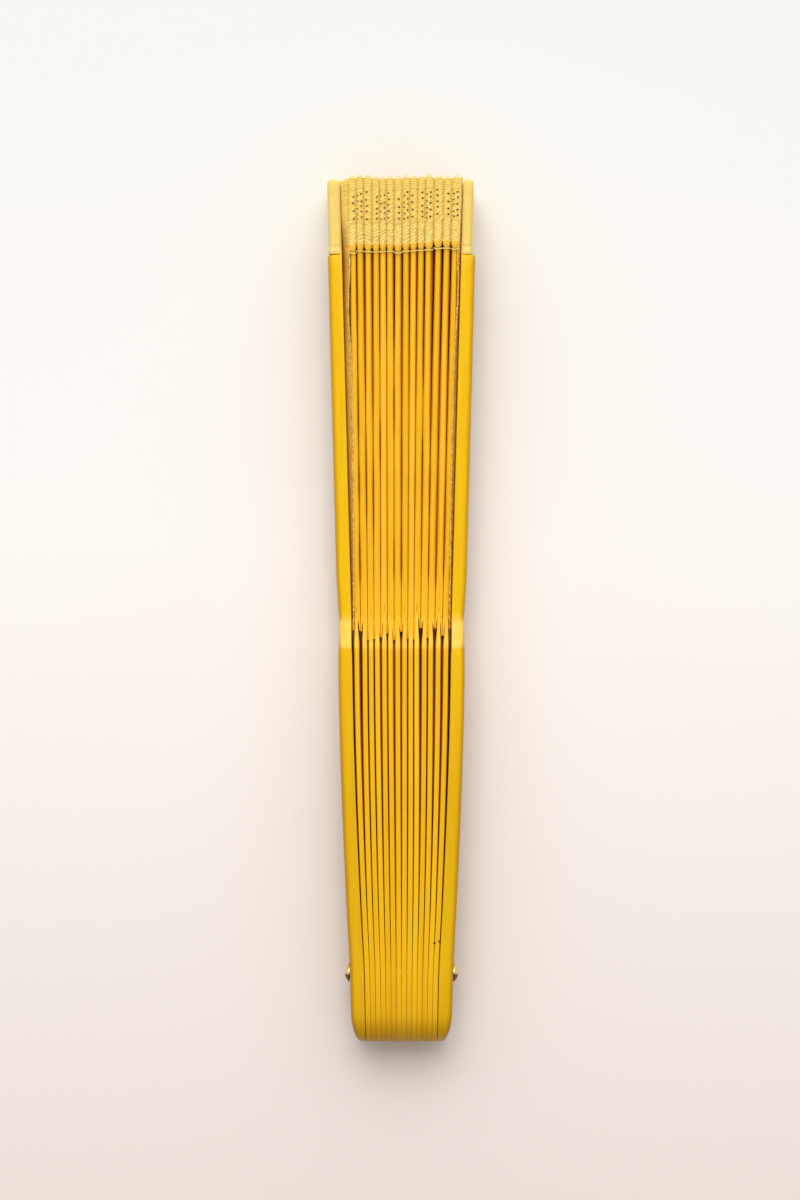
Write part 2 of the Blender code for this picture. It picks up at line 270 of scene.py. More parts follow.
def endTree(tree, geometry, material):
    real = geo(tree, "RealizeInstances", {"Geometry": geometry})
    painted = geo(tree, "SetMaterial", {"Geometry": real, "Material": material})
    addNode(tree, "NodeGroupOutput", {"Geometry": painted})


def runTree(obj, tree, values, spent):
    # the tree's result as a plain mesh, without the attributes that it used up
    modifier = obj.modifiers.new("shape", "NODES")
    modifier.node_group = tree
    for item in tree.interface.items_tree:
        if item.in_out == "INPUT" and item.name in values:
            modifier[item.identifier] = values[item.name]
    flatten(obj)
    for label in spent:
        found = obj.data.attributes.get(label)
        if found:
            obj.data.attributes.remove(found)
    return obj


def named(tree, name, kind="FLOAT"):
    return geo(tree, "InputNamedAttribute", {"Name": name}, data_type=kind)


def store(tree, geometry, name, value, kind):
    inputs = {"Geometry": geometry, "Name": name, "Value": value}
    return geo(tree, "StoreNamedAttribute", inputs, data_type=kind)


def roundTube(tree, spine, ring):
    inputs = {"Curve": spine, "Profile Curve": ring, "Fill Caps": True}
    return addNode(tree, "GeometryNodeCurveToMesh", inputs)


def unitRing(tree, sides):
    return geo(tree, "CurvePrimitiveCircle", {"Resolution": sides, "Radius": 1.0})


# Materials


def colour(red, green, blue):
    # 0 to 255 as shown on a screen, to the shader's linear values
    shown = [c / 255 for c in (red, green, blue)]
    return (*(((c + 0.055) / 1.055) ** 2.4 if c > 10 / 255 else c / 12.92 for c in shown), 1.0)


def startMaterial(name, **shaderInputs):
    material = bpy.data.materials.new(name)
    material.use_nodes = True
    for key, value in shaderInputs.items():
        material.node_tree.nodes["Principled BSDF"].inputs[key.replace("_", " ")].default_value = value
    return material, material.node_tree


def endMaterial(material, **sockets):
    tree = material.node_tree
    for key, value in sockets.items():
        tree.links.new(value, tree.nodes["Principled BSDF"].inputs[key.replace("_", " ")])
    return material


def stretched(tree, coordinate, scale=(1, 1, 1)):
    source = addNode(tree, "ShaderNodeTexCoord").outputs[coordinate]
    return addNode(tree, "ShaderNodeMapping", {"Vector": source, "Scale": scale}).outputs[0]


def noise(tree, coordinate, scale, detail=3.0, roughness=0.5):
    vector = stretched(tree, coordinate, scale)
    inputs = {"Vector": vector, "Scale": 1.0, "Detail": detail, "Roughness": roughness}
    return addNode(tree, "ShaderNodeTexNoise", inputs).outputs["Fac"]


def ramp(tree, factor, *stops):
    # each stop is a place and a grey or a colour
    node = addNode(tree, "ShaderNodeValToRGB", {"Fac": factor})
    elements = node.color_ramp.elements
    while len(elements) < len(stops):
        elements.new(0.5)
    for element, (position, value) in zip(elements, stops):
        element.position = position
        element.color = (*value, 1.0)[:4] if isinstance(value, tuple) else (value, value, value, 1.0)
    return node.outputs[0]


def blendColour(tree, factor, first, second, blend="MIX"):
    return addNode(
        tree, "ShaderNodeMix", {0: factor, 6: first, 7: second}, data_type="RGBA", blend_type=blend
    ).outputs[2]


def tinted(tree, body, factor, low, high, tint, most=1):
    # takes on the tint where the factor climbs from low to high
    return blendColour(tree, ramp(tree, factor, (low, 0), (high, most)), body, tint)


def bump(tree, height, strength, distance, under=None):
    inputs = {"Height": height, "Strength": strength, "Distance": distance}
    if under is not None:
        inputs["Normal"] = under
    return addNode(tree, "ShaderNodeBump", inputs).outputs[0]


def shareOf(tree, value, start, span):
    return calc(tree, "DIVIDE", calc(tree, "SUBTRACT", value, start), span)


def pointiness(tree):
    return addNode(tree, "ShaderNodeNewGeometry").outputs["Pointiness"]


def broadSide(tree):
    return addNode(tree, "ShaderNodeAttribute", attribute_name="broadSide").outputs["Fac"]


paintedLight = {"from": -18.3 * mm, "span": 120 * mm, "shoulder": ((0.872, 0), (0.88, 1), (0.93, 1), (0.95, 0))}


def paintLightAndShade(tree, body, look):
    # painted shade that deepens the colour towards the rivet end, and a painted highlight that makes the
    # shoulders paler where they slope towards the light
    share = shareOf(tree, parted(tree, stretched(tree, "Object"))[1], rivetY + paintedLight["from"], paintedLight["span"])
    # painted highlight: paler colour over the sloping shoulders
    rub = calc(tree, "MULTIPLY", ramp(tree, share, *paintedLight["shoulder"]), look["rub"])
    body = blendColour(tree, rub, body, look["rubbed"])
    # painted shade: the colour is multiplied darker below the waist, most at the round end
    return blendColour(tree, 1.0, body, ramp(tree, share, *look["held"]), "MULTIPLY")


def makeLacquer():
    # yellow lacquer on the guards: faint brush streaks and orange peel, a little worn at the edges
    look = {
        "base": colour(238, 190, 4), "deep": colour(232, 177, 2), "worn": colour(246, 204, 60),
        "side": colour(204, 146, 8), "rubbed": colour(250, 222, 150), "rub": 0.24, "roughness": 0.32,
        "held": (
            (0.0, (0.7, 0.65, 0.5)), (0.09, (0.83, 0.8, 0.65)), (0.16, (0.88, 0.86, 0.7)),
            (0.6, (0.87, 0.83, 0.72)), (0.9, (1.0, 1.0, 1.0)),
        ),
        "streakScale": (900, 26, 900), "patchScale": (160, 160, 160), "peelScale": (900, 900, 900),
    }
    material, tree = startMaterial(
        "guard_lacquer", Roughness=look["roughness"],
        Coat_Weight=0.03, Coat_Roughness=0.2, Specular_IOR_Level=0.12,
    )
    streaks = noise(tree, "Object", look["streakScale"], 4.0)
    patches = noise(tree, "Object", look["patchScale"], 4.0)
    peel = noise(tree, "Object", look["peelScale"], 2.0)
    body = tinted(tree, look["base"], streaks, 0.3, 0.75, look["deep"])
    edges = ramp(tree, pointiness(tree), (0.53, 0), (0.66, 1))
    wear = calc(tree, "MULTIPLY", edges, ramp(tree, patches, (0.45, 0), (0.7, 0.6)))
    body = blendColour(tree, wear, body, look["worn"])
    # painted shade: darker colour on the guards' rounded sides, which face away from the light
    body = tinted(tree, body, broadSide(tree), 0.25, 0.9, look["side"])
    return endMaterial(
        material,
        Base_Color=paintLightAndShade(tree, body, look),
        Roughness=calc(tree, "MULTIPLY_ADD", patches, 0.16, look["roughness"] - 0.08),
        Normal=bump(tree, peel, 0.1, 0.03 * mm, bump(tree, streaks, 0.2, 0.04 * mm)),
    )


def makeRibWood():
    # stained slats: long grain, a little difference from slat to slat, and painted shade darkening their broad
    # sides, which face the gaps between slats
    look = {
        "base": colour(234, 177, 18), "grain": colour(224, 161, 13), "pale": colour(240, 189, 32),
        "stain": colour(196, 110, 8), "speck": colour(92, 42, 6), "rubbed": colour(252, 222, 130),
        "held": (
            (0.0, (0.73, 0.67, 0.3)), (0.09, (0.92, 0.88, 0.35)), (0.16, (1.0, 0.98, 0.4)),
            (0.6, (1.0, 0.99, 0.75)), (0.9, (1.0, 1.0, 1.0)),
        ),
        "rub": 0.16, "grainScale": (2600, 34, 1500), "slatScale": (420, 2, 2),
        "speckRadius": 0.4 * mm, "speckAt": 8.75 * mm,
    }
    material, tree = startMaterial(
        "rib_wood", Roughness=0.42, Coat_Weight=0.02, Coat_Roughness=0.25, Specular_IOR_Level=0.12
    )
    grain = noise(tree, "Object", look["grainScale"], 5.0, 0.6)
    body = tinted(tree, look["base"], grain, 0.42, 0.75, look["grain"], 0.8)
    body = tinted(tree, body, noise(tree, "Object", look["slatScale"], 1.0), 0.42, 0.66, look["pale"], 0.7)
    # painted shade: deep red-brown on the slats' broad sides, down in the gaps
    body = tinted(tree, body, broadSide(tree), 0.55, 1.0, look["stain"], 0.9)
    above, r = stretched(tree, "Object", (1, 1, 0)), look["speckAt"]
    specks = (((centreAt(13, r) + centreAt(14, r)) / 2, r), (innerFace(r) - 0.3 * mm, r + 0.4 * mm))
    for x, along in specks:  # dark spots by the last gaps
        away = vectorCalc(tree, "DISTANCE", above, (x, rivetY + along, 0.0), "Value")
        speck = ramp(tree, calc(tree, "DIVIDE", away, look["speckRadius"]), (0.7, 0.9), (1.0, 0))
        body = blendColour(tree, speck, body, look["speck"])
    return endMaterial(
        material,
        Base_Color=paintLightAndShade(tree, body, look),
        Roughness=calc(tree, "MULTIPLY_ADD", grain, 0.2, 0.34),
        Normal=bump(tree, grain, 0.3, 0.05 * mm),
    )


def weave(tree, pitch):
    # crossing threads on the piece's own UV map, which is in metres
    places = parted(tree, stretched(tree, "UV", (1 / pitch, 1 / pitch, 1)))
    across, along = (
        calc(tree, "SINE", calc(tree, "MULTIPLY", part, 2 * math.pi)) for part in (places[0], places[1])
    )
    return calc(tree, "MULTIPLY_ADD", calc(tree, "MULTIPLY", across, along), 0.5, 0.5)


def makeCloth(name, look):
    material, tree = startMaterial(
        name, Roughness=look["roughness"], Sheen_Weight=look["sheen"], Sheen_Roughness=0.5,
        Sheen_Tint=look["sheenColour"], Specular_IOR_Level=0.2,
    )
    threads = weave(tree, look["pitch"])
    body = tinted(tree, look["base"], noise(tree, "UV", look["slubScale"], 4.0, 0.6), 0.35, 0.7, look["deep"])
    body = blendColour(tree, calc(tree, "MULTIPLY", threads, look["threadShade"]), body, look["shade"])
    flat = parted(tree, stretched(tree, "UV"))
    if "tint" in look:  # no two folds took the dye alike
        folds = noise(tree, "Object", look["foldScale"], 1.0)
        body = tinted(tree, body, folds, 0.44, 0.6, look["tint"], 0.75)
    if "flank" in look:  # painted shade: deeper, richer colour down in the pleats, away from the crest
        fromCrest = calc(tree, "DIVIDE", calc(tree, "ABSOLUTE", flat[0]), look["flankSpan"])
        body = tinted(tree, body, fromCrest, 0.2, 0.4, look["flank"])
    if "lining" in look:  # painted shade: the turn under the border, seen through its eyelets, is coloured darker brown
        turned = calc(tree, "MULTIPLY", calc(tree, "DIVIDE", flat[0], look["liningFrom"]), 0.5)
        body = tinted(tree, body, turned, 0.49, 0.51, look["lining"])
    if "zones" in look:
        share = shareOf(tree, flat[1], stick["borderAt"], stick["topAt"] - stick["borderAt"])
        body = blendColour(tree, 1.0, body, ramp(tree, share, *look["zones"]), "MULTIPLY")
    return endMaterial(material, Base_Color=body, Normal=bump(tree, threads, look["bump"], 0.08 * mm))


def makeYarn(name, base, deep):
    # soft twisted thread
    material, tree = startMaterial(
        name, Roughness=0.75, Sheen_Weight=0.2, Sheen_Tint=(1.0, 0.9, 0.65, 1.0), Specular_IOR_Level=0.25
    )
    plies = noise(tree, "Object", (1500, 1500, 1500))
    body = tinted(tree, base, plies, 0.4, 0.65, deep)
    return endMaterial(material, Base_Color=body, Normal=bump(tree, plies, 0.3, 0.03 * mm))


def makeBrass():
    # bright domes, tarnished in the hollows, with painted shade on the side away from the light
    look = {"base": colour(238, 210, 142), "tarnish": colour(96, 50, 18), "spotScale": (900, 900, 900)}
    radius = 2.5 * mm
    material, tree = startMaterial("rivet_brass", Roughness=0.22, Metallic=1.0)
    spots = noise(tree, "Object", look["spotScale"], 4.0, 0.6)
    along = parted(tree, stretched(tree, "Object"))[1]
    # painted shade: darker, duller brass on the −Y half of each dome, away from the light
    down = calc(tree, "DIVIDE", calc(tree, "SUBTRACT", rivetY + radius, along), 2 * radius)
    dullAndShaded = ramp(tree, pointiness(tree), (0.45, 1), (0.51, 0))
    dullAndShaded = calc(tree, "MAXIMUM", dullAndShaded, ramp(tree, spots, (0.5, 0), (0.75, 0.6)))
    dullAndShaded = calc(tree, "MAXIMUM", dullAndShaded, ramp(tree, down, (0.5, 0), (0.6, 0.9)))
    return endMaterial(
        material,
        Base_Color=blendColour(tree, dullAndShaded, look["base"], look["tarnish"]),
        Roughness=calc(tree, "MULTIPLY_ADD", dullAndShaded, 0.3, 0.18),
        Normal=bump(tree, spots, 0.15, 0.05 * mm),
    )


leafLook = {
    "base": colour(241, 186, 20), "deep": colour(235, 178, 14), "shade": colour(229, 166, 12),
    "flank": colour(248, 176, 20), "flankSpan": 4 * mm, "tint": colour(247, 190, 48),
    "roughness": 0.7, "sheen": 0.08, "sheenColour": colour(255, 224, 140), "pitch": 0.32 * mm,
    "slubScale": (500, 120, 1), "foldScale": (520, 3, 3), "threadShade": 0.3, "bump": 0.3,
}
endLook = dict(
    leafLook, base=colour(244, 202, 88), deep=colour(230, 180, 60), shade=colour(214, 160, 44),
    flank=leafLook["base"], flankSpan=9 * mm, tint=colour(246, 208, 100),
)
laceLook = {
    "base": colour(244, 211, 112), "deep": colour(235, 196, 92), "shade": colour(222, 176, 68),
    "lining": colour(206, 142, 40), "liningFrom": 5 * mm,
    "roughness": 0.8, "sheen": 0.12, "sheenColour": colour(255, 240, 190), "pitch": 0.42 * mm,
    "slubScale": (700, 500, 1), "threadShade": 0.45, "bump": 0.5,
    "zones": (
        (0.0, (0.98, 0.81, 0.3)), (0.09, (0.98, 0.81, 0.3)), (0.11, (0.93, 0.94, 0.98)),
        (0.36, (0.94, 0.95, 0.97)), (0.42, (1.0, 0.99, 0.93)), (0.78, (1.0, 1.03, 0.89)),
        (1.0, (1.12, 1.15, 0.91)),
    ),
}
blockLook = {
    "base": colour(247, 219, 128), "deep": colour(241, 209, 112), "shade": colour(229, 191, 92),
    "roughness": 0.85, "sheen": 0.12, "sheenColour": colour(255, 236, 180), "pitch": 0.3 * mm,
    "slubScale": (400, 700, 1), "threadShade": 0.5, "bump": 0.5,
    "zones": (
        (0.0, (1.0, 1.0, 1.0)), (0.083, (1.0, 1.0, 1.0)), (0.09, (0.72, 0.66, 0.5)),
        (0.1, (0.72, 0.66, 0.5)), (0.107, (0.97, 0.96, 0.92)), (0.6, (0.97, 0.96, 0.92)),
        (0.9, (1.0, 0.98, 0.9)),
    ),
}
materials = {
    "lacquer": makeLacquer(),
    "rib": makeRibWood(),
    "leaf": makeCloth("leaf_cloth", leafLook),
    "end": makeCloth("end_cloth", endLook),
    "lace": makeCloth("border_lace", laceLook),
    "block": makeCloth("block_cloth", blockLook),
    "laceYarn": makeYarn("lace_yarn", colour(246, 222, 138), colour(237, 209, 112)),
    "frayYarn": makeYarn("fray_yarn", colour(250, 212, 110), colour(214, 156, 40)),
    "brass": makeBrass(),
}
print("materials ready")


# Sticks: one tree lofts a rounded section along a stick's middle line

stickColumns = ("halfThick", "halfWide", "edgeRadius", "lean", "slant", "kneeLeft", "kneeRight")


def makeStickTree():
    tree, given = startTree(
        "stick",
        ("Edge sides", "Int", 24), ("Plain edge radius", "Float", 0.25 * mm), ("Round side", "Float", 0.0),
        ("Knee depth", "Float", 0.0), ("Material", "Material", None),
    )
    op = partial(calc, tree)
    spine = geo(tree, "MeshToCurve", {"Mesh": given["Geometry"]})
    ring = unitRing(tree, given["Edge sides"])
    halfStep = op("DIVIDE", math.pi, given["Edge sides"])
    turn = addNode(tree, "ShaderNodeCombineXYZ", {"Z": halfStep})
    turned = geo(tree, "Transform", {"Geometry": ring, "Rotation": turn.outputs[0]})
    marked = store(tree, turned, "ringPlace", geo(tree, "InputPosition"), "FLOAT_VECTOR")
    tube = roundTube(tree, spine, marked).outputs[0]
    middle = parted(tree, named(tree, "spine", "FLOAT_VECTOR"))
    around = parted(tree, named(tree, "ringPlace", "FLOAT_VECTOR"))
    thick, wide, edge, lean, slant, kneeLeft, kneeRight = (named(tree, label) for label in stickColumns)
    across = op("MULTIPLY", around[0], given["Round side"])
    onRound = op("GREATER_THAN", across, 0.0)
    plain = op("MULTIPLY", op("MINIMUM", given["Plain edge radius"], edge), op("SUBTRACT", 1.0, onRound))
    radius = op("MINIMUM", op("MULTIPLY_ADD", edge, onRound, plain), op("MINIMUM", thick, wide))

    def reach(base, half, part):
        flat = op("MULTIPLY", op("SIGN", part), op("SUBTRACT", half, radius))
        return op("ADD", base, op("MULTIPLY_ADD", radius, part, flat))

    under = op("MULTIPLY_ADD", around[1], -0.5, 0.5)  # 0 at the upper edge, 1 at the lower one
    x = op("MULTIPLY_ADD", lean, under, reach(middle[0], thick, around[0]))
    y = op("MULTIPLY_ADD", slant, across, middle[1])
    atKnee = op("GREATER_THAN", op("ABSOLUTE", around[0]), op("COSINE", op("MULTIPLY", halfStep, 2.0)))
    toLeft = op("MULTIPLY", op("LESS_THAN", around[0], 0.0), kneeLeft)
    toRight = op("MULTIPLY", op("GREATER_THAN", around[0], 0.0), kneeRight)
    x = op("MULTIPLY_ADD", atKnee, op("SUBTRACT", toRight, toLeft), x)
    kneeDepth = op("MINIMUM", given["Knee depth"], op("MULTIPLY", wide, 0.45))
    drop = op("MULTIPLY", op("MULTIPLY", atKnee, kneeDepth), op("SIGN", around[1]))
    z = op("SUBTRACT", reach(middle[2], wide, around[1]), drop)
    target = addNode(tree, "ShaderNodeCombineXYZ", {"X": x, "Y": y, "Z": z})
    shaped = geo(tree, "SetPosition", {"Geometry": tube, "Position": target.outputs[0]})
    endTree(tree, store(tree, shaped, "broadSide", op("ABSOLUTE", around[0]), "FLOAT"), given["Material"])
    return tree


def makeStick(name, rows, material, body, slot, values):
    # rows are (r, middle x, half thickness, half width, and the numbers of the other columns)
    mesh = bpy.data.meshes.new(name)
    spots = [place(row[1], row[0], 0.0) for row in rows]
    mesh.from_pydata(spots, [(k, k + 1) for k in range(len(rows) - 1)], [])
    writeAttribute(mesh, "spine", spots)
    for column, label in enumerate(stickColumns, 2):
        writeAttribute(mesh, label, [row[column] for row in rows])
    values["Material"] = material
    obj = runTree(addObject(name, mesh), stickTree, values, ("spine", "ringPlace") + stickColumns)
    shell = bmesh.new()
    shell.from_mesh(obj.data)
    if shell.calc_volume(signed=True) < 0:
        bmesh.ops.reverse_faces(shell, faces=shell.faces)
    shell.to_mesh(obj.data)
    shell.free()
    cut = obj.modifiers.new("bore", "BOOLEAN")
    cut.object = boreCutter
    cut.solver = "EXACT"
    return finishPiece(flatten(obj), material, body, slot, body)


bore = {"segments": 40, "radius1": 1.45 * mm, "radius2": 1.45 * mm, "depth": 40 * mm}
cutterShape = bmesh.new()
bmesh.ops.create_cone(cutterShape, cap_ends=True, **bore)
cutterShape.transform(Matrix.Translation(place(0, 0, 0)) @ Matrix.Rotation(math.pi / 2, 4, "Y"))
boreCutter = toObject("bore_cutter", cutterShape)
stickTree = makeStickTree()


def endPlaces():
    # along the round end, closer together where it turns
    radius, turns = stick["endRadius"], np.linspace(*stick["endTurns"])
    return [-stick["endToRivet"] + radius - radius * math.cos(turn) for turn in turns]


rib = {
    "endThickness": 1.3 * mm, "thickness": 1.2 * mm, "tipThickness": 0.8 * mm, "shoulder": 7.5 * mm,
    "neckHalf": 3.5 * mm, "neckFrom": 100 * mm, "neckSpan": 20 * mm, "raisedNeck": 4.4 * mm,
    "raisedShoulder": 9.5 * mm, "edgeRadius": 0.13 * mm, "tipAt": stick["topAt"] - 4 * mm,
    "uneven": 0.14 * mm, "lean": 0.3 * mm, "kneeDepth": 1.1 * mm, "kneeMost": 0.28 * mm,
    "kneeClear": 0.07 * mm, "kneeFrom": -18 * mm, "kneeSpan": 12 * mm, "guardClear": 0.2 * mm,
    "edgeLeast": 0.4, "edgeFrom": 5 * mm, "edgeSpan": 40 * mm, "seed": 11,
}


def ribHalfWidth(r):
    full = halfWidth(r)
    raised = full + (rib["raisedNeck"] - full) * eased((r - stick["waistAt"]) / rib["raisedShoulder"])
    return raised + (rib["neckHalf"] - rib["raisedNeck"]) * eased((r - rib["neckFrom"]) / rib["neckSpan"])


def kneeRoom(index, other, r, thickness):
    # how far a rib's broad side may swell towards its neighbour
    guardSide = other in (0, ribCount + 1)
    clear = rib["guardClear"] if guardSide else rib["kneeClear"]
    room = abs(centreAt(other, r) - centreAt(index, r)) / (1 if guardSide else 2) - thickness / 2 - clear
    return min(max(room, 0.0), rib["kneeMost"])


def makeRibs():
    dice = random.Random(rib["seed"])
    waist = stick["waistAt"]
    shoulder = waist + rib["shoulder"]
    places = endPlaces() + steps(0.0, waist, 2 * mm) + steps(waist, shoulder, 0.5 * mm)[1:]
    places += steps(shoulder, rib["tipAt"], 6 * mm)[1:]
    for index in ribNumbers:
        lift = dice.uniform(-rib["uneven"], rib["uneven"] * 0.3)
        rows = []
        for r in sorted(set(places)):
            thin, grow = eased((r - waist) / rib["shoulder"]), eased(r / waist)
            thickness = rib["endThickness"] + (rib["thickness"] - rib["endThickness"]) * grow
            thickness += (rib["tipThickness"] - thickness) * thin
            lean = rib["lean"] * grow * (1 - thin) * (1 - 2 * (index - 0.5) / ribCount)
            wide = ribHalfWidth(r) + lift * grow * (1 - thin)
            shaped = (1 - thin) * eased((r - rib["kneeFrom"]) / rib["kneeSpan"])
            knees = [kneeRoom(index, other, r, thickness) * shaped for other in (index - 1, index + 1)]
            full = rib["edgeLeast"] + (1 - rib["edgeLeast"]) * eased((r - rib["edgeFrom"]) / rib["edgeSpan"])
            edge = rib["edgeRadius"] * full
            rows.append((r, centreAt(index, r), thickness / 2, wide, edge, lean, 0.0, *knees))
        values = {"Edge sides": 16, "Plain edge radius": rib["edgeRadius"], "Knee depth": rib["kneeDepth"]}
        makeStick(f"slat_{index:02d}", rows, materials["rib"], bodies[index], "rib_wood", values)


guard = {
    "neckAt": 93.5 * mm, "neckHalf": 7.5 * mm, "slant": 2.2 * mm, "edgeRadius": 1.6 * mm,
    "plainRadius": 0.22 * mm, "endLength": 8.8 * mm, "endThickness": 0.7 * mm, "thickness": 3.75 * mm,
    "shoulderRadius": 1.5 * mm, "waistCut": 0.4 * mm, "waistLength": 26 * mm, "waistMiddle": 93.5 * mm,
    "tipAt": stick["topAt"] - 5 * mm, "tipInset": 0.6 * mm, "tipThinner": 1.0 * mm, "tipNarrower": 1.4 * mm,
}


def guardHalfWidth(r):
    waist, neck = stick["waistAt"], guard["neckAt"]
    if r <= neck:
        full = halfWidth(r)
        return full + (guard["neckHalf"] - full) * eased((r - waist) / (neck - waist))
    widening = eased((r - neck) / (stick["borderAt"] - neck))
    return guard["neckHalf"] + (stick["width"] / 2 - guard["neckHalf"]) * widening


def guardFaces(r):
    inner = innerFace(r)
    rounding = guard["endLength"] - stick["endToRivet"]
    if r < rounding:
        along = (rounding - r) / guard["endLength"]
        bulge = math.sqrt(max(1 - along * along, 0.0))
        return inner, inner + guard["endThickness"] + (guard["thickness"] - guard["endThickness"]) * bulge
    fromWaist = abs(r - guard["waistMiddle"]) / (guard["waistLength"] / 2)
    return inner, inner + guard["thickness"] - guard["waistCut"] * (1 - eased(fromWaist))


def makeGuard(side, body):
    waist, neck, shoulder = stick["waistAt"], guard["neckAt"], stick["borderAt"] - guard["shoulderRadius"]
    places = endPlaces() + steps(0.0, waist, 2 * mm) + steps(waist, neck, 0.6 * mm)[1:]
    places += steps(neck, shoulder, 3 * mm)[1:]
    rows = []

    def addRow(r, half, slant=0.0, inset=0.0, lower=0.0):
        inner, outer = guardFaces(r)
        inner, outer = inner + inset, outer - inset - lower
        middle, thick = side * (inner + outer) / 2, (outer - inner) / 2
        rows.append((r, middle, thick, half, guard["edgeRadius"], 0.0, slant, 0.0, 0.0))

    for r in sorted(set(places)):
        fromSlope = (r - (waist + neck) / 2) / (neck - waist)
        addRow(r, guardHalfWidth(r), guard["slant"] * (1 - eased(abs(fromSlope))))
    for turn in np.linspace(0, math.pi / 2, 7)[1:]:  # the rounded shoulder under the cloth block
        r = shoulder + (guard["shoulderRadius"] - 0.2 * mm) * math.sin(turn)
        lower = guard["shoulderRadius"] * 0.8 * (1 - math.cos(turn))
        addRow(r, guardHalfWidth(r) - lower, lower=lower)
    for r in (stick["borderAt"] - 0.15 * mm, guard["tipAt"]):
        addRow(r, stick["width"] / 2 - guard["tipNarrower"], 0.0, guard["tipInset"], guard["tipThinner"])
    values = {"Edge sides": 32, "Plain edge radius": guard["plainRadius"], "Round side": float(side)}
    makeStick(f"{body}_lacquered", rows, materials["lacquer"], body, "guard_lacquer", values)


makeRibs()
for side, body, word in guardSides:
    makeGuard(side, body)
bpy.data.objects.remove(boreCutter)
print("sticks ready")


# Cloth: rigid folds ride on their ribs, and a free panel fills the gap between two sticks

cloth = {
    "ribClear": 0.1 * mm, "jogSlope": 1.5, "blendShare": 0.9, "panelColumns": 14, "panelSag": (1.7, 7.0),
    "firstRise": 1.4 * mm, "panelAway": -40 * mm, "leafWall": 0.2 * mm, "leafStart": 88.5 * mm,
    "leafEnd": stick["borderAt"] + 1.4 * mm, "foldEnd": stick["borderAt"] + 2.6 * mm, "laceWall": 0.26 * mm,
    "laceStart": stick["borderAt"] + 0.2 * mm, "laceEnd": stick["topAt"] - 0.9 * mm,
    "laceSettled": stick["borderAt"] + 5 * mm,
}
fabrics = {
    "leaf": (cloth["leafWall"], materials["leaf"], "leaf_cloth"),
    "end": (cloth["leafWall"], materials["end"], "leaf_cloth"),
    "lace": (cloth["laceWall"], materials["lace"], "border_lace"),
}
still = np.zeros(3)


def foldHalf(wall):
    # from a rib's middle to the middle of the cloth's wall beside it
    return rib["tipThickness"] / 2 + cloth["ribClear"] + wall / 2


def gapFaces(index, r):
    # x of the cloth on the two sticks beside a gap
    half = foldHalf(cloth["leafWall"])
    low = centreAt(index, r) + (half if index else cloth["leafWall"])
    return low, centreAt(index + 1, r) - (half if index < ribCount else cloth["leafWall"])


def middleBetween(index):
    # straight middle line of a gap, as (start, slope), and its least room for the panel
    places = (cloth["leafStart"], stick["topAt"])
    faces = [gapFaces(index, r) for r in places]
    middle = [(low + high) / 2 for low, high in faces]
    slope = (middle[1] - middle[0]) / (places[1] - places[0])
    return middle[0] - slope * places[0], slope, min(high - low for low, high in faces) * cloth["blendShare"]


gaps = [middleBetween(index) for index in range(ribCount + 1)]


def gapX(index, r, weight):
    # x of the free panel where the blend weight is that share
    start, slope, width = gaps[index]
    t = 0.5 - math.sin(math.asin(1 - 2 * weight) / 3)
    return start + slope * r + width * (t - 0.5)


def panelEnds(index, r, top, bottom):
    # z of a free panel's upper and lower edge, allowing for the run of cloth to it
    low, high = gapFaces(index, r)
    upperRun, lowerRun = gapX(index, r, 0.0) - low, high - gapX(index, r, 1.0)
    return top - cloth["jogSlope"] * upperRun, bottom + cloth["jogSlope"] * lowerRun


def foldEdges(index, r, top, bottom):
    # (x, z) of the left and right edge of a fold, where the free panels beside it go on
    left = (gapX(index - 1, r, 1.0), panelEnds(index - 1, r, top, bottom)[1])
    return left, (gapX(index, r, 0.0), panelEnds(index, r, top, bottom)[0])


def runAlong(row):
    run = [0.0]
    for a, b in zip(row, row[1:]):
        run.append(run[-1] + math.hypot(b[0] - a[0], b[2] - a[2]))
    return run


def makeStrip(name, rows, wall, middle=None, skip=(), away=0.0, up=0.0):
    # rows of (x, r, z) points; the UV map holds metres along each row from the middle column, and r less up
    shape = bmesh.new()
    uvLayer = shape.loops.layers.uv.new("UVMap")
    grid = [[shape.verts.new(place(*point)) for point in row] for row in rows]
    lengths = []
    for row in rows:
        run = runAlong(row)
        zero = run[-1] / 2 if middle is None else run[middle]
        lengths.append([value - zero + away for value in run])
    for j in range(len(rows) - 1):
        for k in range(len(rows[0]) - 1):
            if (j, k) not in skip:
                corners = ((j, k), (j, k + 1), (j + 1, k + 1), (j + 1, k))
                face = shape.faces.new([grid[a][b] for a, b in corners])
                layUv(face, uvLayer, [(lengths[a][b], rows[a][b][1] - up) for a, b in corners])
    obj = toObject(name, shape)
    if wall:
        addWall(obj, wall)
    return obj


def addSheet(name, rows, fabric, body, restsOn, *nodes, smooth=60, blend=None, **layout):
    wall, material, slot = fabrics[fabric]
    obj = flatten(makeStrip(name, rows, wall, **layout))
    finishPiece(obj, material, body, slot, *nodes, smooth=smooth)
    if blend:
        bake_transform(obj)


def ownStarts(rows, starts, settled):
    # each column begins at its own place and meets the others again at the settled row
    grid = np.array(rows)
    moved = np.empty_like(grid)
    for k, begin in enumerate(starts):
        places = grid[:, k, 1]
        stretch = (settled - begin) / (settled - places[0])
        moved[:, k, 1] = np.where(places < settled, begin + (places - places[0]) * stretch, places)
        for part in (0, 2):
            moved[:, k, part] = np.interp(moved[:, k, 1], places, grid[:, k, part])
    return moved.tolist()


def ownEnds(rows, ends, settled):
    # the same at the far end
    turned = [[(x, -r, z) for x, r, z in row] for row in reversed(rows)]
    moved = ownStarts(turned, [-end for end in ends], -settled)
    return [[(x, -r, z) for x, r, z in row] for row in reversed(moved)]


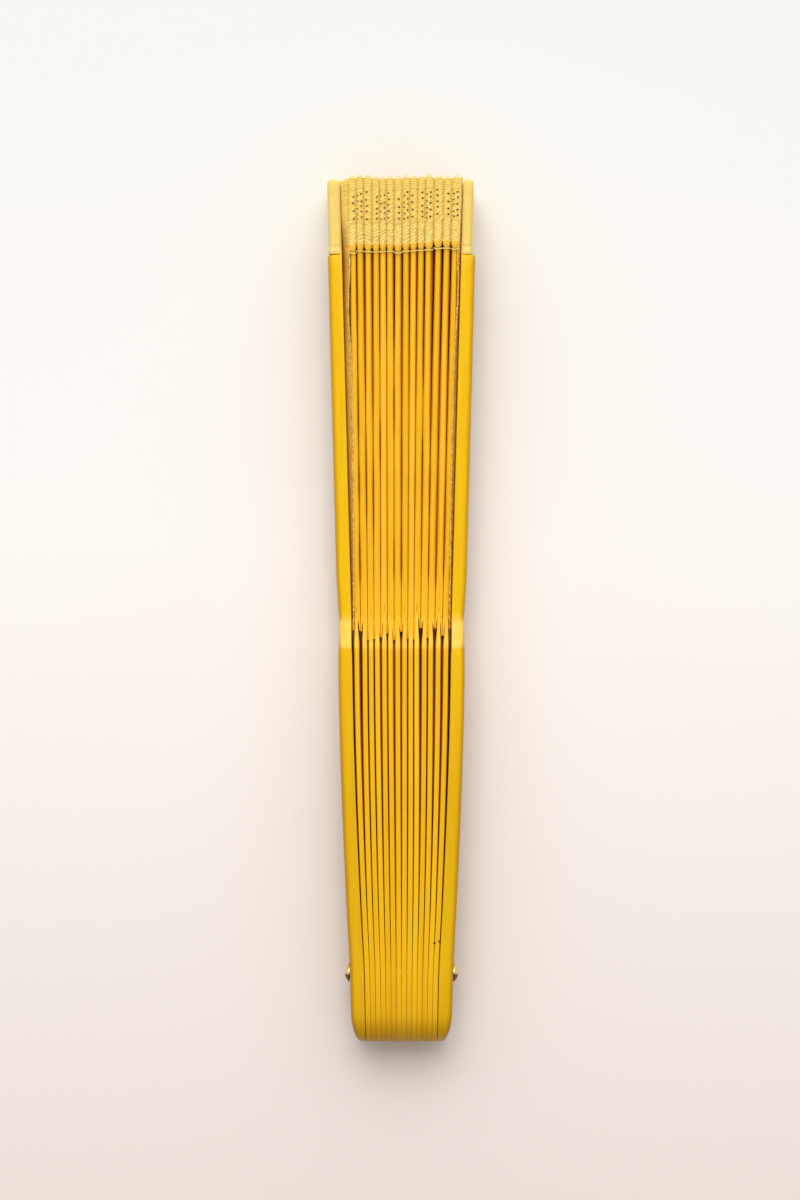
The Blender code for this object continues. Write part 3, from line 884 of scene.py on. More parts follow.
def clothPanel(index, start, end, heights, fine, coarse, fineUntil):
    # a free panel from the crest of one stick down to the valley at the next
    rows = []
    shares = [column / cloth["panelColumns"] for column in range(cloth["panelColumns"] + 1)]
    for r in makeRows(start, end, fine, coarse, fineUntil):
        upper, lower = heights(r)
        top, bottom = panelEnds(index, r, upper + (0 if index else cloth["firstRise"]), lower)
        sag = cloth["panelSag"][index == 0]
        rows.append([(gapX(index, r, share), r, top + (bottom - top) * share**sag) for share in shares])
    return rows


def addPanel(name, index, rows, fabric, up=0.0):
    start, slope, width = gaps[index]
    low = place(start + slope * stick["borderAt"] - width / 2, stick["borderAt"], 0)
    reach = width / (1 + slope * slope)
    blend = {"start": low, "end": low + Vector((reach, -slope * reach, 0))}
    beside, away = bodies[index : index + 2], cloth["panelAway"]
    addSheet(name, rows, fabric, None, beside, smooth=40, blend=blend, middle=0, away=away, up=up)


# Threads: one tree lays a flat pattern onto a cloth by its UV map and makes it round


def makeThreadTree():
    sockets = ("Cloth", "Object", None), ("Sides", "Int", 5), ("Material", "Material", None)
    tree, given = startTree("threads", *sockets)
    surface = addNode(tree, "GeometryNodeObjectInfo", {"Object": given["Cloth"]}).outputs["Geometry"]
    uvMap = named(tree, "UVMap", "FLOAT_VECTOR")
    flat = geo(tree, "InputPosition")

    def sample(kind):
        inputs = {"Mesh": surface, "Value": geo(tree, kind), "Source UV Map": uvMap, "Sample UV": flat}
        return addNode(tree, "GeometryNodeSampleUVSurface", inputs, data_type="FLOAT_VECTOR").outputs

    spot, normal = sample("InputPosition"), sample("InputNormal")
    offCloth = addNode(tree, "FunctionNodeBooleanMath", {0: spot["Is Valid"]}, operation="NOT").outputs[0]
    onCloth = geo(tree, "DeleteGeometry", {"Geometry": given["Geometry"], "Selection": offCloth})
    lift = {0: normal["Value"], "Scale": named(tree, "lift")}
    raised = addNode(tree, "ShaderNodeVectorMath", lift, operation="SCALE").outputs[0]
    moved = vectorCalc(tree, "ADD", spot["Value"], raised)
    moved = vectorCalc(tree, "ADD", moved, named(tree, "aside", "FLOAT_VECTOR"))
    laid = geo(tree, "SetPosition", {"Geometry": onCloth, "Position": moved})
    lines = geo(tree, "MeshToCurve", {"Mesh": laid})
    radius = named(tree, "yarnRadius")
    sized = geo(tree, "SetCurveRadius", {"Curve": lines, "Radius": radius})
    tube = roundTube(tree, sized, unitRing(tree, given["Sides"]))
    if "Scale" in tube.inputs:
        tree.links.new(radius, tube.inputs["Scale"])
    endTree(tree, tube.outputs[0], given["Material"])
    return tree


threadTree = makeThreadTree()


def layThreads(name, surface, lines, yarn, body, middle=None, sides=5, up=0.0):
    # lines of (u, v, lift, radius, aside) points on the flat cloth, which is an object or rows of points
    if isinstance(surface, list):
        surface = makeStrip(name + "_under", surface, 0.0, middle, up=up)
    edges, points = [], []
    for line in lines:
        edges += [(len(points) + k, len(points) + k + 1) for k in range(len(line) - 1)]
        points += line
    us, vs, *columns = zip(*points)
    mesh = bpy.data.meshes.new(name)
    mesh.from_pydata([(u, v, 0.0) for u, v in zip(us, vs)], edges, [])
    labels = ("lift", "yarnRadius", "aside")
    for label, column in zip(labels, columns):
        writeAttribute(mesh, label, column)
    values = {"Cloth": surface, "Sides": sides, "Material": materials[yarn]}
    threads = runTree(addObject(name, mesh), threadTree, values, labels)
    bpy.data.objects.remove(surface)
    finishPiece(threads, materials[yarn], body, "border_lace", smooth=0)


# Leaf: crests that swell over the ribs, and golden points between the ribs' shoulders

leaf = {
    "neck": 2.1 * mm, "settled": 108 * mm, "overShoulder": 0.24 * mm, "crown": 0.7 * mm,
    "crownLow": 0.12 * mm, "flare": 0.3 * mm, "flareDepth": 0.6 * mm, "swell": 0.32 * mm,
    "swellFrom": 187 * mm, "swellTo": 150 * mm, "touch": 0.05 * mm, "guardRoom": 0.7 * mm, "waver": 0.45,
    "closedAt": 107 * mm, "closedSpan": 9 * mm, "roundFrom": 97 * mm, "roundSpan": 12 * mm,
    "crestColumns": 15, "sideColumns": 8, "seed": 3,
    "closeness": (0.4, 0.55, 0.3, 0.25, 0.5, 0.9, 0.8, 0.2, 0.5, 0.3, 0.55, 0.35, 0.1, 0.4, 0.5),  # by gap
    "pointStart": [  # by gap
        r * mm for r in (91.2, 91, 88.7, 88.9, 89.4, 90.4, 88.6, 90.8, 89, 88.7, 91.8, 89.2, 91.7, 89.8, 91.6)
    ],
    "notch": [  # by rib
        r * mm for r in (97.5, 95.8, 97.2, 94.6, 98.4, 96.5, 94.2, 97.8, 95, 98.6, 96.4, 94.8, 97.6, 96.2)
    ],
}
leafDice = random.Random(leaf["seed"])
gapWaves = [
    [(leafDice.uniform(16, 45) * mm, leafDice.uniform(0, 6.28)) for wave in range(3)]
    for gap in range(ribCount + 1)
]


def crestHalf(gap, r):
    # half widths of a crest, to its wall's middle, on the side of that gap: at its crown and at its flare
    base = foldHalf(cloth["leafWall"])
    between = centreAt(gap + 1, r) - centreAt(gap, r)
    room = between / 2 if 0 < gap < ribCount else between - leaf["guardRoom"]
    most = room - cloth["leafWall"] / 2 - leaf["touch"]
    grown = eased((leaf["swellFrom"] - r) / (leaf["swellFrom"] - leaf["swellTo"]))
    wave = sum(math.sin(6.283 * r / length + phase) for length, phase in gapWaves[gap]) / len(gapWaves[gap])
    share = min(max(leaf["closeness"][gap] + leaf["waver"] * wave, 0.0), 1.0)
    half = base + leaf["swell"] * grown * share
    half += eased((leaf["closedAt"] - r) / leaf["closedSpan"]) * max(room - half, 0.0)
    return min(half, most), min(max(half, base + leaf["flare"] * (0.3 + 0.7 * grown)), most)


def leafCrest(r):
    # over the pleat's own height where it climbs the ribs' shoulders
    return max(pleatDepth(r), ribHalfWidth(r) + leaf["overShoulder"])


def leafFold(index):
    half = foldHalf(cloth["leafWall"])
    shares = np.linspace(-1, 1, leaf["crestColumns"])
    rows = []
    for r in makeRows(cloth["leafStart"], cloth["foldEnd"], 0.4 * mm, 4 * mm, leaf["settled"]):
        centre, depth, crest = centreAt(index, r), pleatDepth(r), leafCrest(r)
        rounded = eased((r - leaf["roundFrom"]) / leaf["roundSpan"])
        crown = leaf["crownLow"] + (leaf["crown"] - leaf["crownLow"]) * rounded
        (lowX, bottom), (highX, top) = foldEdges(index, r, crest - leaf["neck"], -depth)
        (left, flareLeft), (right, flareRight) = crestHalf(index - 1, r), crestHalf(index, r)
        side = crest - crown
        flareZ = side - leaf["flareDepth"]
        bend = (lowX + centre - half) / 2, (bottom - depth) / 2 - 0.05 * mm
        points = [(lowX, bottom), bend, (centre - half, -depth)]
        for share in (0.2, 0.5, 0.8, 1.0):
            points.append((centre - half, -depth + share * (flareZ - 0.5 * mm + depth)))
        points.append((centre - flareLeft, flareZ))
        for share in shares:
            along = share + (math.sin(math.pi / 2 * share) - share) * rounded
            reach = left if share < 0 else right
            points.append((centre + reach * along, side + crown * max(1 - along * along, 0.0) ** 0.4))
        points += [(centre + flareRight, flareZ), (highX, min(top, flareZ - 0.5 * mm))]
        rows.append([(x, r, z) for x, z in points])
    notch, (before, after) = leaf["notch"][index - 1], leaf["pointStart"][index - 1 : index + 1]
    columns = [before] * leaf["sideColumns"]
    for share in shares:  # a notch over the rib, between the points in the gaps beside it
        columns.append(notch - (notch - (before if share < 0 else after)) * abs(share) ** 0.9)
    return ownStarts(rows, columns + [after] * 2, leaf["settled"])


def makeLeaf():
    for index in ribNumbers:
        addSheet(
            f"leaf_pleat_{index:02d}", leafFold(index), "leaf", bodies[index], [f"slat_{index:02d}"],
            f"leaf_fold_{index:02d}", middle=leaf["sideColumns"] + leaf["crestColumns"] // 2,
        )

    def heights(r):
        return leafCrest(r) - leaf["neck"], -pleatDepth(r)

    start, end, settled = cloth["leafStart"], cloth["leafEnd"], leaf["settled"]
    for index, begin in enumerate(leaf["pointStart"]):
        rows = clothPanel(index, start, end, heights, 0.5 * mm, 4 * mm, settled)
        rows = ownStarts(rows, [begin] * len(rows[0]), settled)
        addPanel(f"leaf_panel_{index:02d}", index, rows, "leaf")


leafEnd = {
    # the first five rows in mm
    "places": (88.5, 105, 128, 151, 164, 173, 181, 187, 190.7, 193, 198.5, 205, 211.7),
    "leftLean": (0.1, 0.7, 1.2, 1.6, 1.6, 1.2, 1.4, 1.8, 1.75, 1.75, 1.65, 1.7, 1.7),
    "rightLean": (0.1, 0.4, 0.8, 0.9, 0.85, 0.5, 0.35, 0.5, 0.7, 0.7, 0.6, 0.6, 0.6),
    "leftFlap": (2.2, 2.2, 2.4, 2.2, 2.2, 2.4, 3.6, 4.6, 5.0, 4.5, 1.6, 1.2, 1.0),
    "rightFlap": (2.2, 2.2, 2.2, 2.2, 2.2, 2.2, 2.2, 2.2, 2.2, 2.2, 1.6, 1.2, 1.0),
    "rise": 0.4 * mm, "uneven": 0.11 * mm, "seed": 8, "fibres": 900, "fibreParts": 4,
    "fibreRadius": 0.075 * mm, "edgeRadius": 0.15 * mm, "lift": 0.1 * mm,
}


def endStrip(side, word, start, end, fine, coarse, fineUntil, rise, wall):
    # the cloth's end on a guard's inner face, with a raw upper edge; the right one first runs to its panel
    dice = random.Random(leafEnd["seed"] + side)
    rows = []
    for r in makeRows(start, end, fine, coarse, fineUntil):
        face = innerFace(r) - wall / 2 - 0.04 * mm
        lean = through(leafEnd["places"], leafEnd[word + "Lean"], r / mm) * mm
        flap = through(leafEnd["places"], leafEnd[word + "Flap"], r / mm) * mm
        depth = pleatDepth(r)
        jitter, lift = dice.uniform(0, leafEnd["uneven"]), dice.uniform(-2, 1) * leafEnd["uneven"]
        points = []
        if side > 0:
            points.append((gapX(ribCount, r, 1.0), r, panelEnds(ribCount, r, depth, -depth)[1]))
        heights = [-depth + share * (2 * depth - flap) for share in np.linspace(0, 1, 5)]
        heights += [depth - flap + share * (flap + rise) for share in np.linspace(0, 1, 9)[1:]]
        for z in heights:
            bend = max(z - (depth - flap), 0.0) / (flap + rise)
            points.append((side * (face - (lean + jitter) * bend**1.6), r, z + lift * bend))
        rows.append(points)
    return rows


def fibreLines(side, start, end, dice):
    # loose fibres up a raw edge and on the slope below it: u is 0 at the edge
    lines, parts = [], leafEnd["fibreParts"]
    for fibre in range(leafEnd["fibres"]):
        v = dice.uniform(start, end)
        u = -dice.uniform(0.02, 1.5) * mm
        length = dice.uniform(0.25, 0.75) * mm
        turn, curl = dice.uniform(-1.5, 1.5), dice.uniform(-1.4, 1.4)
        aside = -side * dice.uniform(0.1, 0.65)
        line, spot = [], still
        for k in range(parts + 1):
            line.append((u, v, -side * leafEnd["lift"], leafEnd["fibreRadius"] * (1 - 0.5 * k / parts), spot))
            heading = turn + curl * k / parts
            rise = math.cos(heading)
            spot = spot + np.array((aside * rise, math.sin(heading), 0.8 * rise)) * length / parts
        lines.append(line)
    return lines


def makeLeafEnds():
    start, end, wall = cloth["leafStart"], cloth["leafEnd"], cloth["leafWall"]
    for side, body, word in guardSides:
        begin = leaf["pointStart"][0 if side < 0 else ribCount]
        rows = endStrip(side, word, start, end, 0.6 * mm, 0.8 * mm, 100 * mm, leafEnd["rise"], wall)
        rows = ownStarts(rows, [begin] * len(rows[0]), leaf["settled"])
        last, glued = len(rows[0]) - 1, [f"{body}_lacquered"]
        addSheet(f"leaf_end_strip_{word}", rows, "end", body, glued, f"leaf_end_{word}", smooth=40, middle=last)
        dice = random.Random(leafEnd["seed"] + 10 + side)
        lines = fibreLines(side, begin + 0.5 * mm, end - 1 * mm, dice)
        edge = []
        for v in steps(begin + 0.3 * mm, end - 0.5 * mm, 0.5 * mm):  # the last warp thread
            loose = np.array((dice.uniform(-0.12, 0.12), 0.0, dice.uniform(0.0, 0.15))) * mm
            edge.append((-0.1 * mm, v, 0.05 * mm, leafEnd["edgeRadius"] * dice.uniform(0.5, 1.8), loose))
        layThreads(f"leaf_fray_{word}", rows, lines + [edge], "frayYarn", body, last, 4)


makeLeaf()
makeLeafEnds()
print("leaf ready")

# Lace border: rounded folds with a golden hem, slanted threads, eyelets and loops along the top

lace = {
    "halfMost": 1.35 * mm, "touch": 0.1 * mm, "rise": 0.35 * mm, "crown": 1.0 * mm, "neck": 2.4 * mm,
    "hem": 1.9 * mm, "hemSwell": 0.25 * mm, "hemNarrow": 0.88, "topRound": 0.55 * mm, "hemRound": 1.1 * mm,
    "rowStep": 0.21 * mm, "archColumns": 21, "sideColumns": 8, "underColumns": 5, "lining": 1.0 * mm,
    "sideDrop": 0.75 * mm, "unevenTop": 0.7 * mm, "seed": 5, "seamAt": stick["borderAt"] + 7.8 * mm,
    "dashPitch": (0.86 * mm, 1.02 * mm), "dashRadius": 0.3 * mm, "dashSink": 0.19 * mm,
    "gatherPitch": 0.6 * mm, "gathers": 5, "loopRadius": 0.3 * mm, "endDrop": (1.2 * mm, 0.4 * mm),
    "dashPoints": 13, "dashBreaks": 0.02, "seamClear": 0.45 * mm, "loopPitch": 0.75 * mm, "loopPoints": 9,
    "eyeletU": 0.36 * mm, "eyeletV": 0.3 * mm, "eyeletClear": (0.5 * mm, 0.42 * mm), "rim": (0.4 * mm, 0.34 * mm),
    # radius and half length of the threads across a fold
    "seamThread": (0.09 * mm, 1.25 * mm), "hemThread": (0.1 * mm, 1.3 * mm),
    "gatherThread": (0.14 * mm, 1.2 * mm),
    "eyeletColumns": ((-0.35,), (0.25,), (-0.55, 0.45)), "eyeletsEnd": stick["borderAt"] + 16 * mm,
    "hemUp": (0, 0.35, 0.25, 0.15, 0.35, 0.3, 0, 0.35, 0.5, 0.65, 0.7, 1.15, 1.1, 1.0),  # mm, by rib
}


def laceHalves(index, r):
    # how far a fold of the border may swell to each side
    before, centre, after = (centreAt(k, r) for k in (index - 1, index, index + 1))
    left = (centre - before) / 2 if index > 1 else centre - before - 0.5 * mm
    right = (after - centre) / 2 if index < ribCount else after - centre - 0.3 * mm
    return [min(side, lace["halfMost"]) - lace["touch"] for side in (left, right)]


def laceFold(index, topAt, up):
    half = foldHalf(cloth["laceWall"])
    turns = np.linspace(math.pi, 0, lace["archColumns"])
    begin = cloth["laceStart"] + up
    rows = []
    for r in steps(begin, topAt, lace["rowStep"]):
        centre, depth = centreAt(index, r), pleatDepth(r)
        hemShare = (r - up - cloth["laceStart"]) / lace["hem"]
        swell = lace["hemSwell"] * math.sin(math.pi * hemShare) ** 0.6 if hemShare < 1 else 0.0
        narrow = lace["hemNarrow"] + (1 - lace["hemNarrow"]) * eased((hemShare - 0.85) / 0.15)
        left, right = (side * narrow for side in laceHalves(index, r))
        crest = depth + lace["rise"] + swell
        side = crest - lace["crown"]
        lowEdge, highEdge = foldEdges(index, r, depth - lace["neck"], -depth)
        inner = min(half, centre - lowEdge[0])
        points = [lowEdge, (centre - inner, -depth)]
        for share in (0.2, 0.4, 0.6, 0.8, 1.0):
            points.append((centre - inner, -depth + share * (2 * depth - lace["neck"])))
        points.append((centre - (inner + left) / 2, side - lace["sideDrop"]))
        for turn in turns:
            c, s = math.cos(turn), math.sin(turn)
            bow = math.copysign(abs(c) ** 0.9, c) * (left if c < 0 else right)
            points.append((centre + bow, side + lace["crown"] * s**0.9))
        points += [(centre + (half + right) / 2, side - lace["sideDrop"]), highEdge]
        # turned under, which closes the view through the eyelets
        points += [(centre + 0.62 * right, crest - lace["lining"]), (centre, crest - 0.8 * lace["lining"])]
        points.append((centre - 0.62 * left, crest - lace["lining"]))
        rows.append([(x, r, z) for x, z in points])

    def rounding(size, power):
        # 0 over the crest, full at both sides
        arch = [size * abs(math.cos(turn)) ** power for turn in turns]
        return [size] * lace["sideColumns"] + arch + [size] * lace["underColumns"]

    starts = [begin + inset for inset in rounding(lace["hemRound"], 2.5)]
    ends = [topAt - inset for inset in rounding(lace["topRound"], 3)]
    return ownEnds(ownStarts(rows, starts, begin + lace["hem"] + 0.5 * mm), ends, topAt - 2 * mm)


def chooseEyelets(index, dice):
    # centres (u, v) in one or two broken columns
    spots = []
    for column in lace["eyeletColumns"][index % 3]:
        v = lace["seamAt"] + dice.uniform(0.5, 1.2) * mm
        while v < lace["eyeletsEnd"]:
            spots.append((column * mm + dice.uniform(-0.12, 0.12) * mm, v))
            v += dice.uniform(1.2, 2.1) * mm
    return spots


def cutEyelets(rows, middle, spots, up):
    # quads of the fold that fall within an eyelet
    holes = set()
    for j in range(len(rows) - 1):
        v = (rows[j][middle][1] + rows[j + 1][middle][1]) / 2 - up
        near = [spot for spot in spots if abs(spot[1] - v) < lace["eyeletV"]]
        run = runAlong(rows[j])
        for k in range(lace["sideColumns"], lace["sideColumns"] + lace["archColumns"] - 1):
            u = (run[k] + run[k + 1]) / 2 - run[middle]
            if any(((u - a) / lace["eyeletU"]) ** 2 + ((v - b) / lace["eyeletV"]) ** 2 < 1 for a, b in near):
                holes.add((j, k))
    return holes


def dashLine(v, spots, lift, lean, dice):
    # one slanted thread, broken off at the eyelets
    reach, middle = dice.uniform(0.55, 1.1) * mm, dice.uniform(-0.25, 0.25) * mm
    lean += dice.uniform(-0.22, 0.22)
    pieces = [[]]
    if abs(v - lace["seamAt"]) <= lace["seamClear"]:
        return []
    clearU, clearV = lace["eyeletClear"]
    for u in np.linspace(middle - reach, middle + reach, lace["dashPoints"]):
        along = v + lean * u
        blocked = any(abs(u - a) < clearU and abs(along - b) < clearV for a, b in spots)
        if blocked or dice.random() < lace["dashBreaks"]:
            pieces.append([])
        else:
            radius = lace["dashRadius"] * dice.uniform(0.85, 1.12)
            pieces[-1].append((u, along, lift - lace["dashSink"], radius, still))
    return [piece for piece in pieces if len(piece) > 3]


def laceLines(index, topAt, spots, dice):
    # the flat pattern of one fold's threads: u is 0 along the crest
    lines = []
    lift = cloth["laceWall"] / 2 + 0.03 * mm
    seam, hemTop = lace["seamAt"], cloth["laceStart"] + lace["hem"]
    gatherFrom = topAt - lace["gathers"] * lace["gatherPitch"]
    v = hemTop + 0.5 * mm
    slope = dice.uniform(0.5, 0.95) * dice.choice((1, 1, 1, -1))
    while v < gatherFrom - 0.3 * mm:
        lines += dashLine(v, spots, lift, slope, dice)
        v += lace["dashPitch"][v > seam] * dice.uniform(0.8, 1.2)
    turns = np.linspace(0, 2 * math.pi, 13)
    rimU, rimV = lace["rim"]
    for a, b in spots:  # a whipped rim round each eyelet
        rim = [(a + rimU * math.cos(turn), b + rimV * math.sin(turn)) for turn in turns]
        lines.append([(*spot, lift - 0.03 * mm, 0.08 * mm, still) for spot in rim])
    rings = [(seam, *lace["seamThread"]), (hemTop, *lace["hemThread"])]
    for k in range(lace["gathers"]):
        rings.append((gatherFrom + (k + 0.3) * lace["gatherPitch"], *lace["gatherThread"]))
    for v, radius, reach in rings:
        tilt = dice.uniform(-0.06, 0.06)
        lines.append([(u, v + tilt * u, lift, radius, still) for u in np.linspace(-reach, reach, 9)])
    for k in (-1, 0, 1):  # small loops standing along the top edge
        middle = k * lace["loopPitch"] + dice.uniform(-0.08, 0.08) * mm
        size, height = lace["loopRadius"] * dice.uniform(0.8, 1.25), dice.uniform(0.9, 1.5)
        line = []
        for turn in np.linspace(-0.35, math.pi + 0.35, lace["loopPoints"]):
            up = np.array((0.0, size * (1 + height * math.sin(turn)) - 0.1 * mm, 0.0))
            line.append((middle + size * math.cos(turn), topAt - 0.15 * mm, 0.02 * mm, 0.1 * mm, up))
        lines.append(line)
    sag = dice.uniform(0.0, 0.3) * mm
    droop = []
    for u in np.linspace(-1.35, 1.35, 17):  # the pale thread that hangs under the hem
        along = abs(u / 1.4)
        over = lace["hemRound"] * along**1.6 + 0.3 * mm
        down = np.array((0.0, -over - 0.1 * mm - sag * (1 - along), 0.0))
        droop.append((u * mm, cloth["laceStart"] + over, 0.2 * mm, 0.15 * mm, down))
    return lines + [droop]


def makeBorderFolds(dice):
    middle = lace["sideColumns"] + lace["archColumns"] // 2
    for index in ribNumbers:
        topAt = cloth["laceEnd"] - dice.uniform(0, lace["unevenTop"])
        up = lace["hemUp"][index - 1] * mm
        rows = laceFold(index, topAt, up)
        spots = chooseEyelets(index, dice)
        holes = cutEyelets(rows, middle, spots, up)
        addSheet(
            f"border_pleat_{index:02d}", rows, "lace", bodies[index], [f"slat_{index:02d}"],
            f"border_fold_{index:02d}", middle=middle, skip=holes, up=up,
        )
        lines = laceLines(index, topAt - up, spots, dice)
        layThreads(f"border_threads_{index:02d}", rows, lines, "laceYarn", bodies[index], middle, up=up)


def makeBorderPanels():
    def heights(r):
        return pleatDepth(r) - lace["neck"], -pleatDepth(r)

    start, end, settled = cloth["laceStart"], cloth["laceEnd"] - 0.3 * mm, cloth["laceSettled"]
    hemUps = [0.0] + [up * mm for up in lace["hemUp"]] + [0.0]
    for index in range(ribCount + 1):
        rows = clothPanel(index, start, end, heights, 1 * mm, 1 * mm, settled)
        ups = hemUps[index : index + 2]
        starts = [start + float(up) for up in np.linspace(*ups, len(rows[0]))]
        addPanel(f"border_panel_{index:02d}", index, ownStarts(rows, starts, settled), "lace", sum(ups) / 2)


def makeBorderEnds(dice):
    start, wall = cloth["laceStart"], cloth["laceWall"]
    for side, body, word in guardSides:
        end = cloth["laceEnd"] - lace["endDrop"][side > 0]
        rows = endStrip(side, word, start, end, 0.5 * mm, 0.5 * mm, cloth["laceSettled"], lace["rise"], wall)
        last, sleeve = len(rows[0]) - 1, [f"guard_sleeve_{word}"]
        addSheet(f"border_end_strip_{word}", rows, "lace", body, sleeve, f"border_end_{word}", middle=last)
        lines = []
        v = start + 2.5 * mm
        while v < end - 0.4 * mm:
            lean, first = dice.uniform(0.3, 0.8), dice.uniform(-1.5, -0.9)
            us = np.linspace(first, -0.2, 5) * mm
            lines.append([(u, v + lean * u, -side * 0.1 * mm, 0.6 * lace["dashRadius"], still) for u in us])
            v += dice.uniform(0.8, 1.5) * lace["dashPitch"][1]
        if side > 0:
            vs = steps(start + 0.3 * mm, end - 0.2 * mm, 1 * mm)
            lines.append([(-0.2 * mm, v, -0.1 * mm, 0.18 * mm, still) for v in vs])
        layThreads(f"border_end_threads_{word}", rows, lines, "laceYarn", body, last)


laceDice = random.Random(lace["seed"])
makeBorderFolds(laceDice)
makeBorderPanels()
makeBorderEnds(laceDice)
print("border ready")

# Cloth sleeves over the guards' tips: rounded, closed above, open below

block = {
    "start": stick["borderAt"] - 0.35 * mm, "end": stick["topAt"] - 1.9 * mm, "wall": 0.4 * mm,
    "corner": 0.9 * mm, "hemSpread": 0.05 * mm, "sides": 32, "rowStep": 0.6 * mm, "narrower": 0.3 * mm,
    "sideInset": {"left": 0.45 * mm, "right": 1.0 * mm},
    # place and radius of each thread round the block, in mm
    "rings": ((190.95, 0.15), (192.6, 0.13), (206.2, 0.1), (206.8, 0.1), (207.4, 0.1), (208.0, 0.1)),
}


def blockSection(side, word, r, inset, turns):
    # the points of one cross-section, and half its width
    inner = innerFace(r) + 0.05 * mm + block["wall"] / 2
    outer = inner + guard["thickness"] - block["wall"] - block["sideInset"][word]
    spread = block["hemSpread"] * (1 - eased((r - block["start"] - 0.8 * mm) / (1.2 * mm)))
    outer += spread
    middle, thick = (inner + outer) / 2, (outer - inner) / 2 - inset
    wide = stick["width"] / 2 - block["narrower"] - inset + spread
    corner = min(block["corner"], thick)
    points = []
    for turn in turns:
        c, s = math.cos(turn), math.sin(turn)
        x = middle + math.copysign(thick - corner, c) + corner * c
        points.append(place(side * x, r, math.copysign(wide - corner, s) + corner * s))
    return points, wide


def makeBlock(side, body, word):
    start, end, count, corner = block["start"], block["end"], block["sides"], block["corner"]
    shape = bmesh.new()
    uvLayer = shape.loops.layers.uv.new("UVMap")
    turns = np.linspace(0, 2 * math.pi, count, endpoint=False) + math.pi / count + math.pi
    profile = [(r, 0.0) for r in steps(start, end - corner, block["rowStep"])]
    for turn in np.linspace(0.25, math.pi / 2, 6):
        profile.append((end - corner * (1 - math.sin(turn)), corner * (1 - math.cos(turn))))
    rings = []
    for r, inset in profile:
        points, wide = blockSection(side, word, r, inset, turns)
        rings.append([shape.verts.new(point) for point in points])
    around = [0.0]
    for a, b in zip(rings[0], rings[0][1:] + rings[0][:1]):
        around.append(around[-1] + (b.co - a.co).length)
    for j in range(len(rings) - 1):
        for k in range(count):
            after = (k + 1) % count
            face = shape.faces.new((rings[j][k], rings[j][after], rings[j + 1][after], rings[j + 1][k]))
            corners = ((j, k), (j, k + 1), (j + 1, k + 1), (j + 1, k))
            layUv(face, uvLayer, [(around[b], profile[a][0]) for a, b in corners])
    cap = shape.faces.new(rings[-1])
    layUv(cap, uvLayer, [(loop.vert.co.x, loop.vert.co.z) for loop in cap.loops])
    bmesh.ops.recalc_face_normals(shape, faces=shape.faces)
    upper = [(side * vert.co.x, u) for u, vert in zip(around, rings[0]) if vert.co.z > middleZ + wide * 0.98]
    obj = toObject(f"guard_sleeve_{word}", shape)
    under = addObject(f"sleeve_under_{word}", obj.data.copy())
    addWall(obj, block["wall"])
    finishPiece(flatten(obj), materials["block"], body, "border_lace", f"guard_block_{word}", smooth=60)
    lift, us = block["wall"] / 2, np.linspace(0.02 * mm, around[-1] - 0.02 * mm, 60)
    lines = [[(u, r * mm, lift, radius * mm, still) for u in us] for r, radius in block["rings"]]
    if side > 0:  # a thread along the outer edge of the upper face
        vs = steps(start + 1 * mm, end - 2 * mm, 1 * mm)
        lines.append([(max(upper)[1], v, lift, 0.13 * mm, still) for v in vs])
    layThreads(f"sleeve_threads_{word}", under, lines, "laceYarn", body)


for side, body, word in guardSides:
    makeBlock(side, body, word)
print("guard sleeves ready")


# Rivet: domed heads on a rim, and the shaft between them

rivet = {
    "radius": 2.5 * mm, "rim": 0.35 * mm, "height": 1.35 * mm, "shaft": 1.3 * mm, "rimRound": 0.12 * mm,
    "lipInset": 0.1 * mm, "grooveInset": 0.22 * mm, "domeInset": 0.26 * mm, "sides": 64,
}


def makeHead(name, side, node):
    low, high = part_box(node)
    seat = (low.x if side < 0 else high.x) - side * rivet["height"]
    radius, rim, crown = rivet["radius"], rivet["rim"], rivet["height"] - rivet["rim"]
    # profile from the axis under the head, round the rim, to the top of the dome, as (x, radius)
    if side < 0:
        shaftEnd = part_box("rivet_cap")[0].x + 0.8 * mm
        profile = [(shaftEnd, 0.0), (shaftEnd, rivet["shaft"] - 0.1 * mm), (seat, rivet["shaft"])]
    else:
        profile = [(seat, 0.0)]
    profile += [
        (seat, radius - rivet["rimRound"]), (seat + side * rivet["rimRound"] * 0.7, radius),
        (seat + side * rim * 0.8, radius), (seat + side * rim, radius - rivet["lipInset"]),
        (seat + side * rim * 0.85, radius - rivet["grooveInset"]),
    ]
    inner = radius - rivet["domeInset"]
    ball = inner**2 / (2 * crown) + crown / 2
    for turn in np.linspace(math.asin(inner / ball), 0, 14):
        profile.append((seat + side * (rim + crown - ball + ball * math.cos(turn)), ball * math.sin(turn)))
    shape = bmesh.new()
    points = [shape.verts.new(place(x, 0, 0) + Vector((0, 0, out))) for x, out in profile]
    edges = [shape.edges.new(pair) for pair in zip(points, points[1:])]
    bmesh.ops.spin(
        shape, geom=points + edges, cent=place(0, 0, 0), axis=(1, 0, 0), angle=2 * math.pi,
        steps=rivet["sides"], use_merge=True, use_duplicate=False,
    )
    bmesh.ops.remove_doubles(shape, verts=shape.verts, dist=0.001 * mm)
    bmesh.ops.recalc_face_normals(shape, faces=shape.faces)
    finishPiece(toObject(name, shape), materials["brass"], "left_guard", "rivet_brass", node, smooth=30)


makeHead("rivet_head_left", -1, "rivet_pin")
makeHead("rivet_head_right", 1, "rivet_cap")
print("rivet ready")


# Floor, light and camera

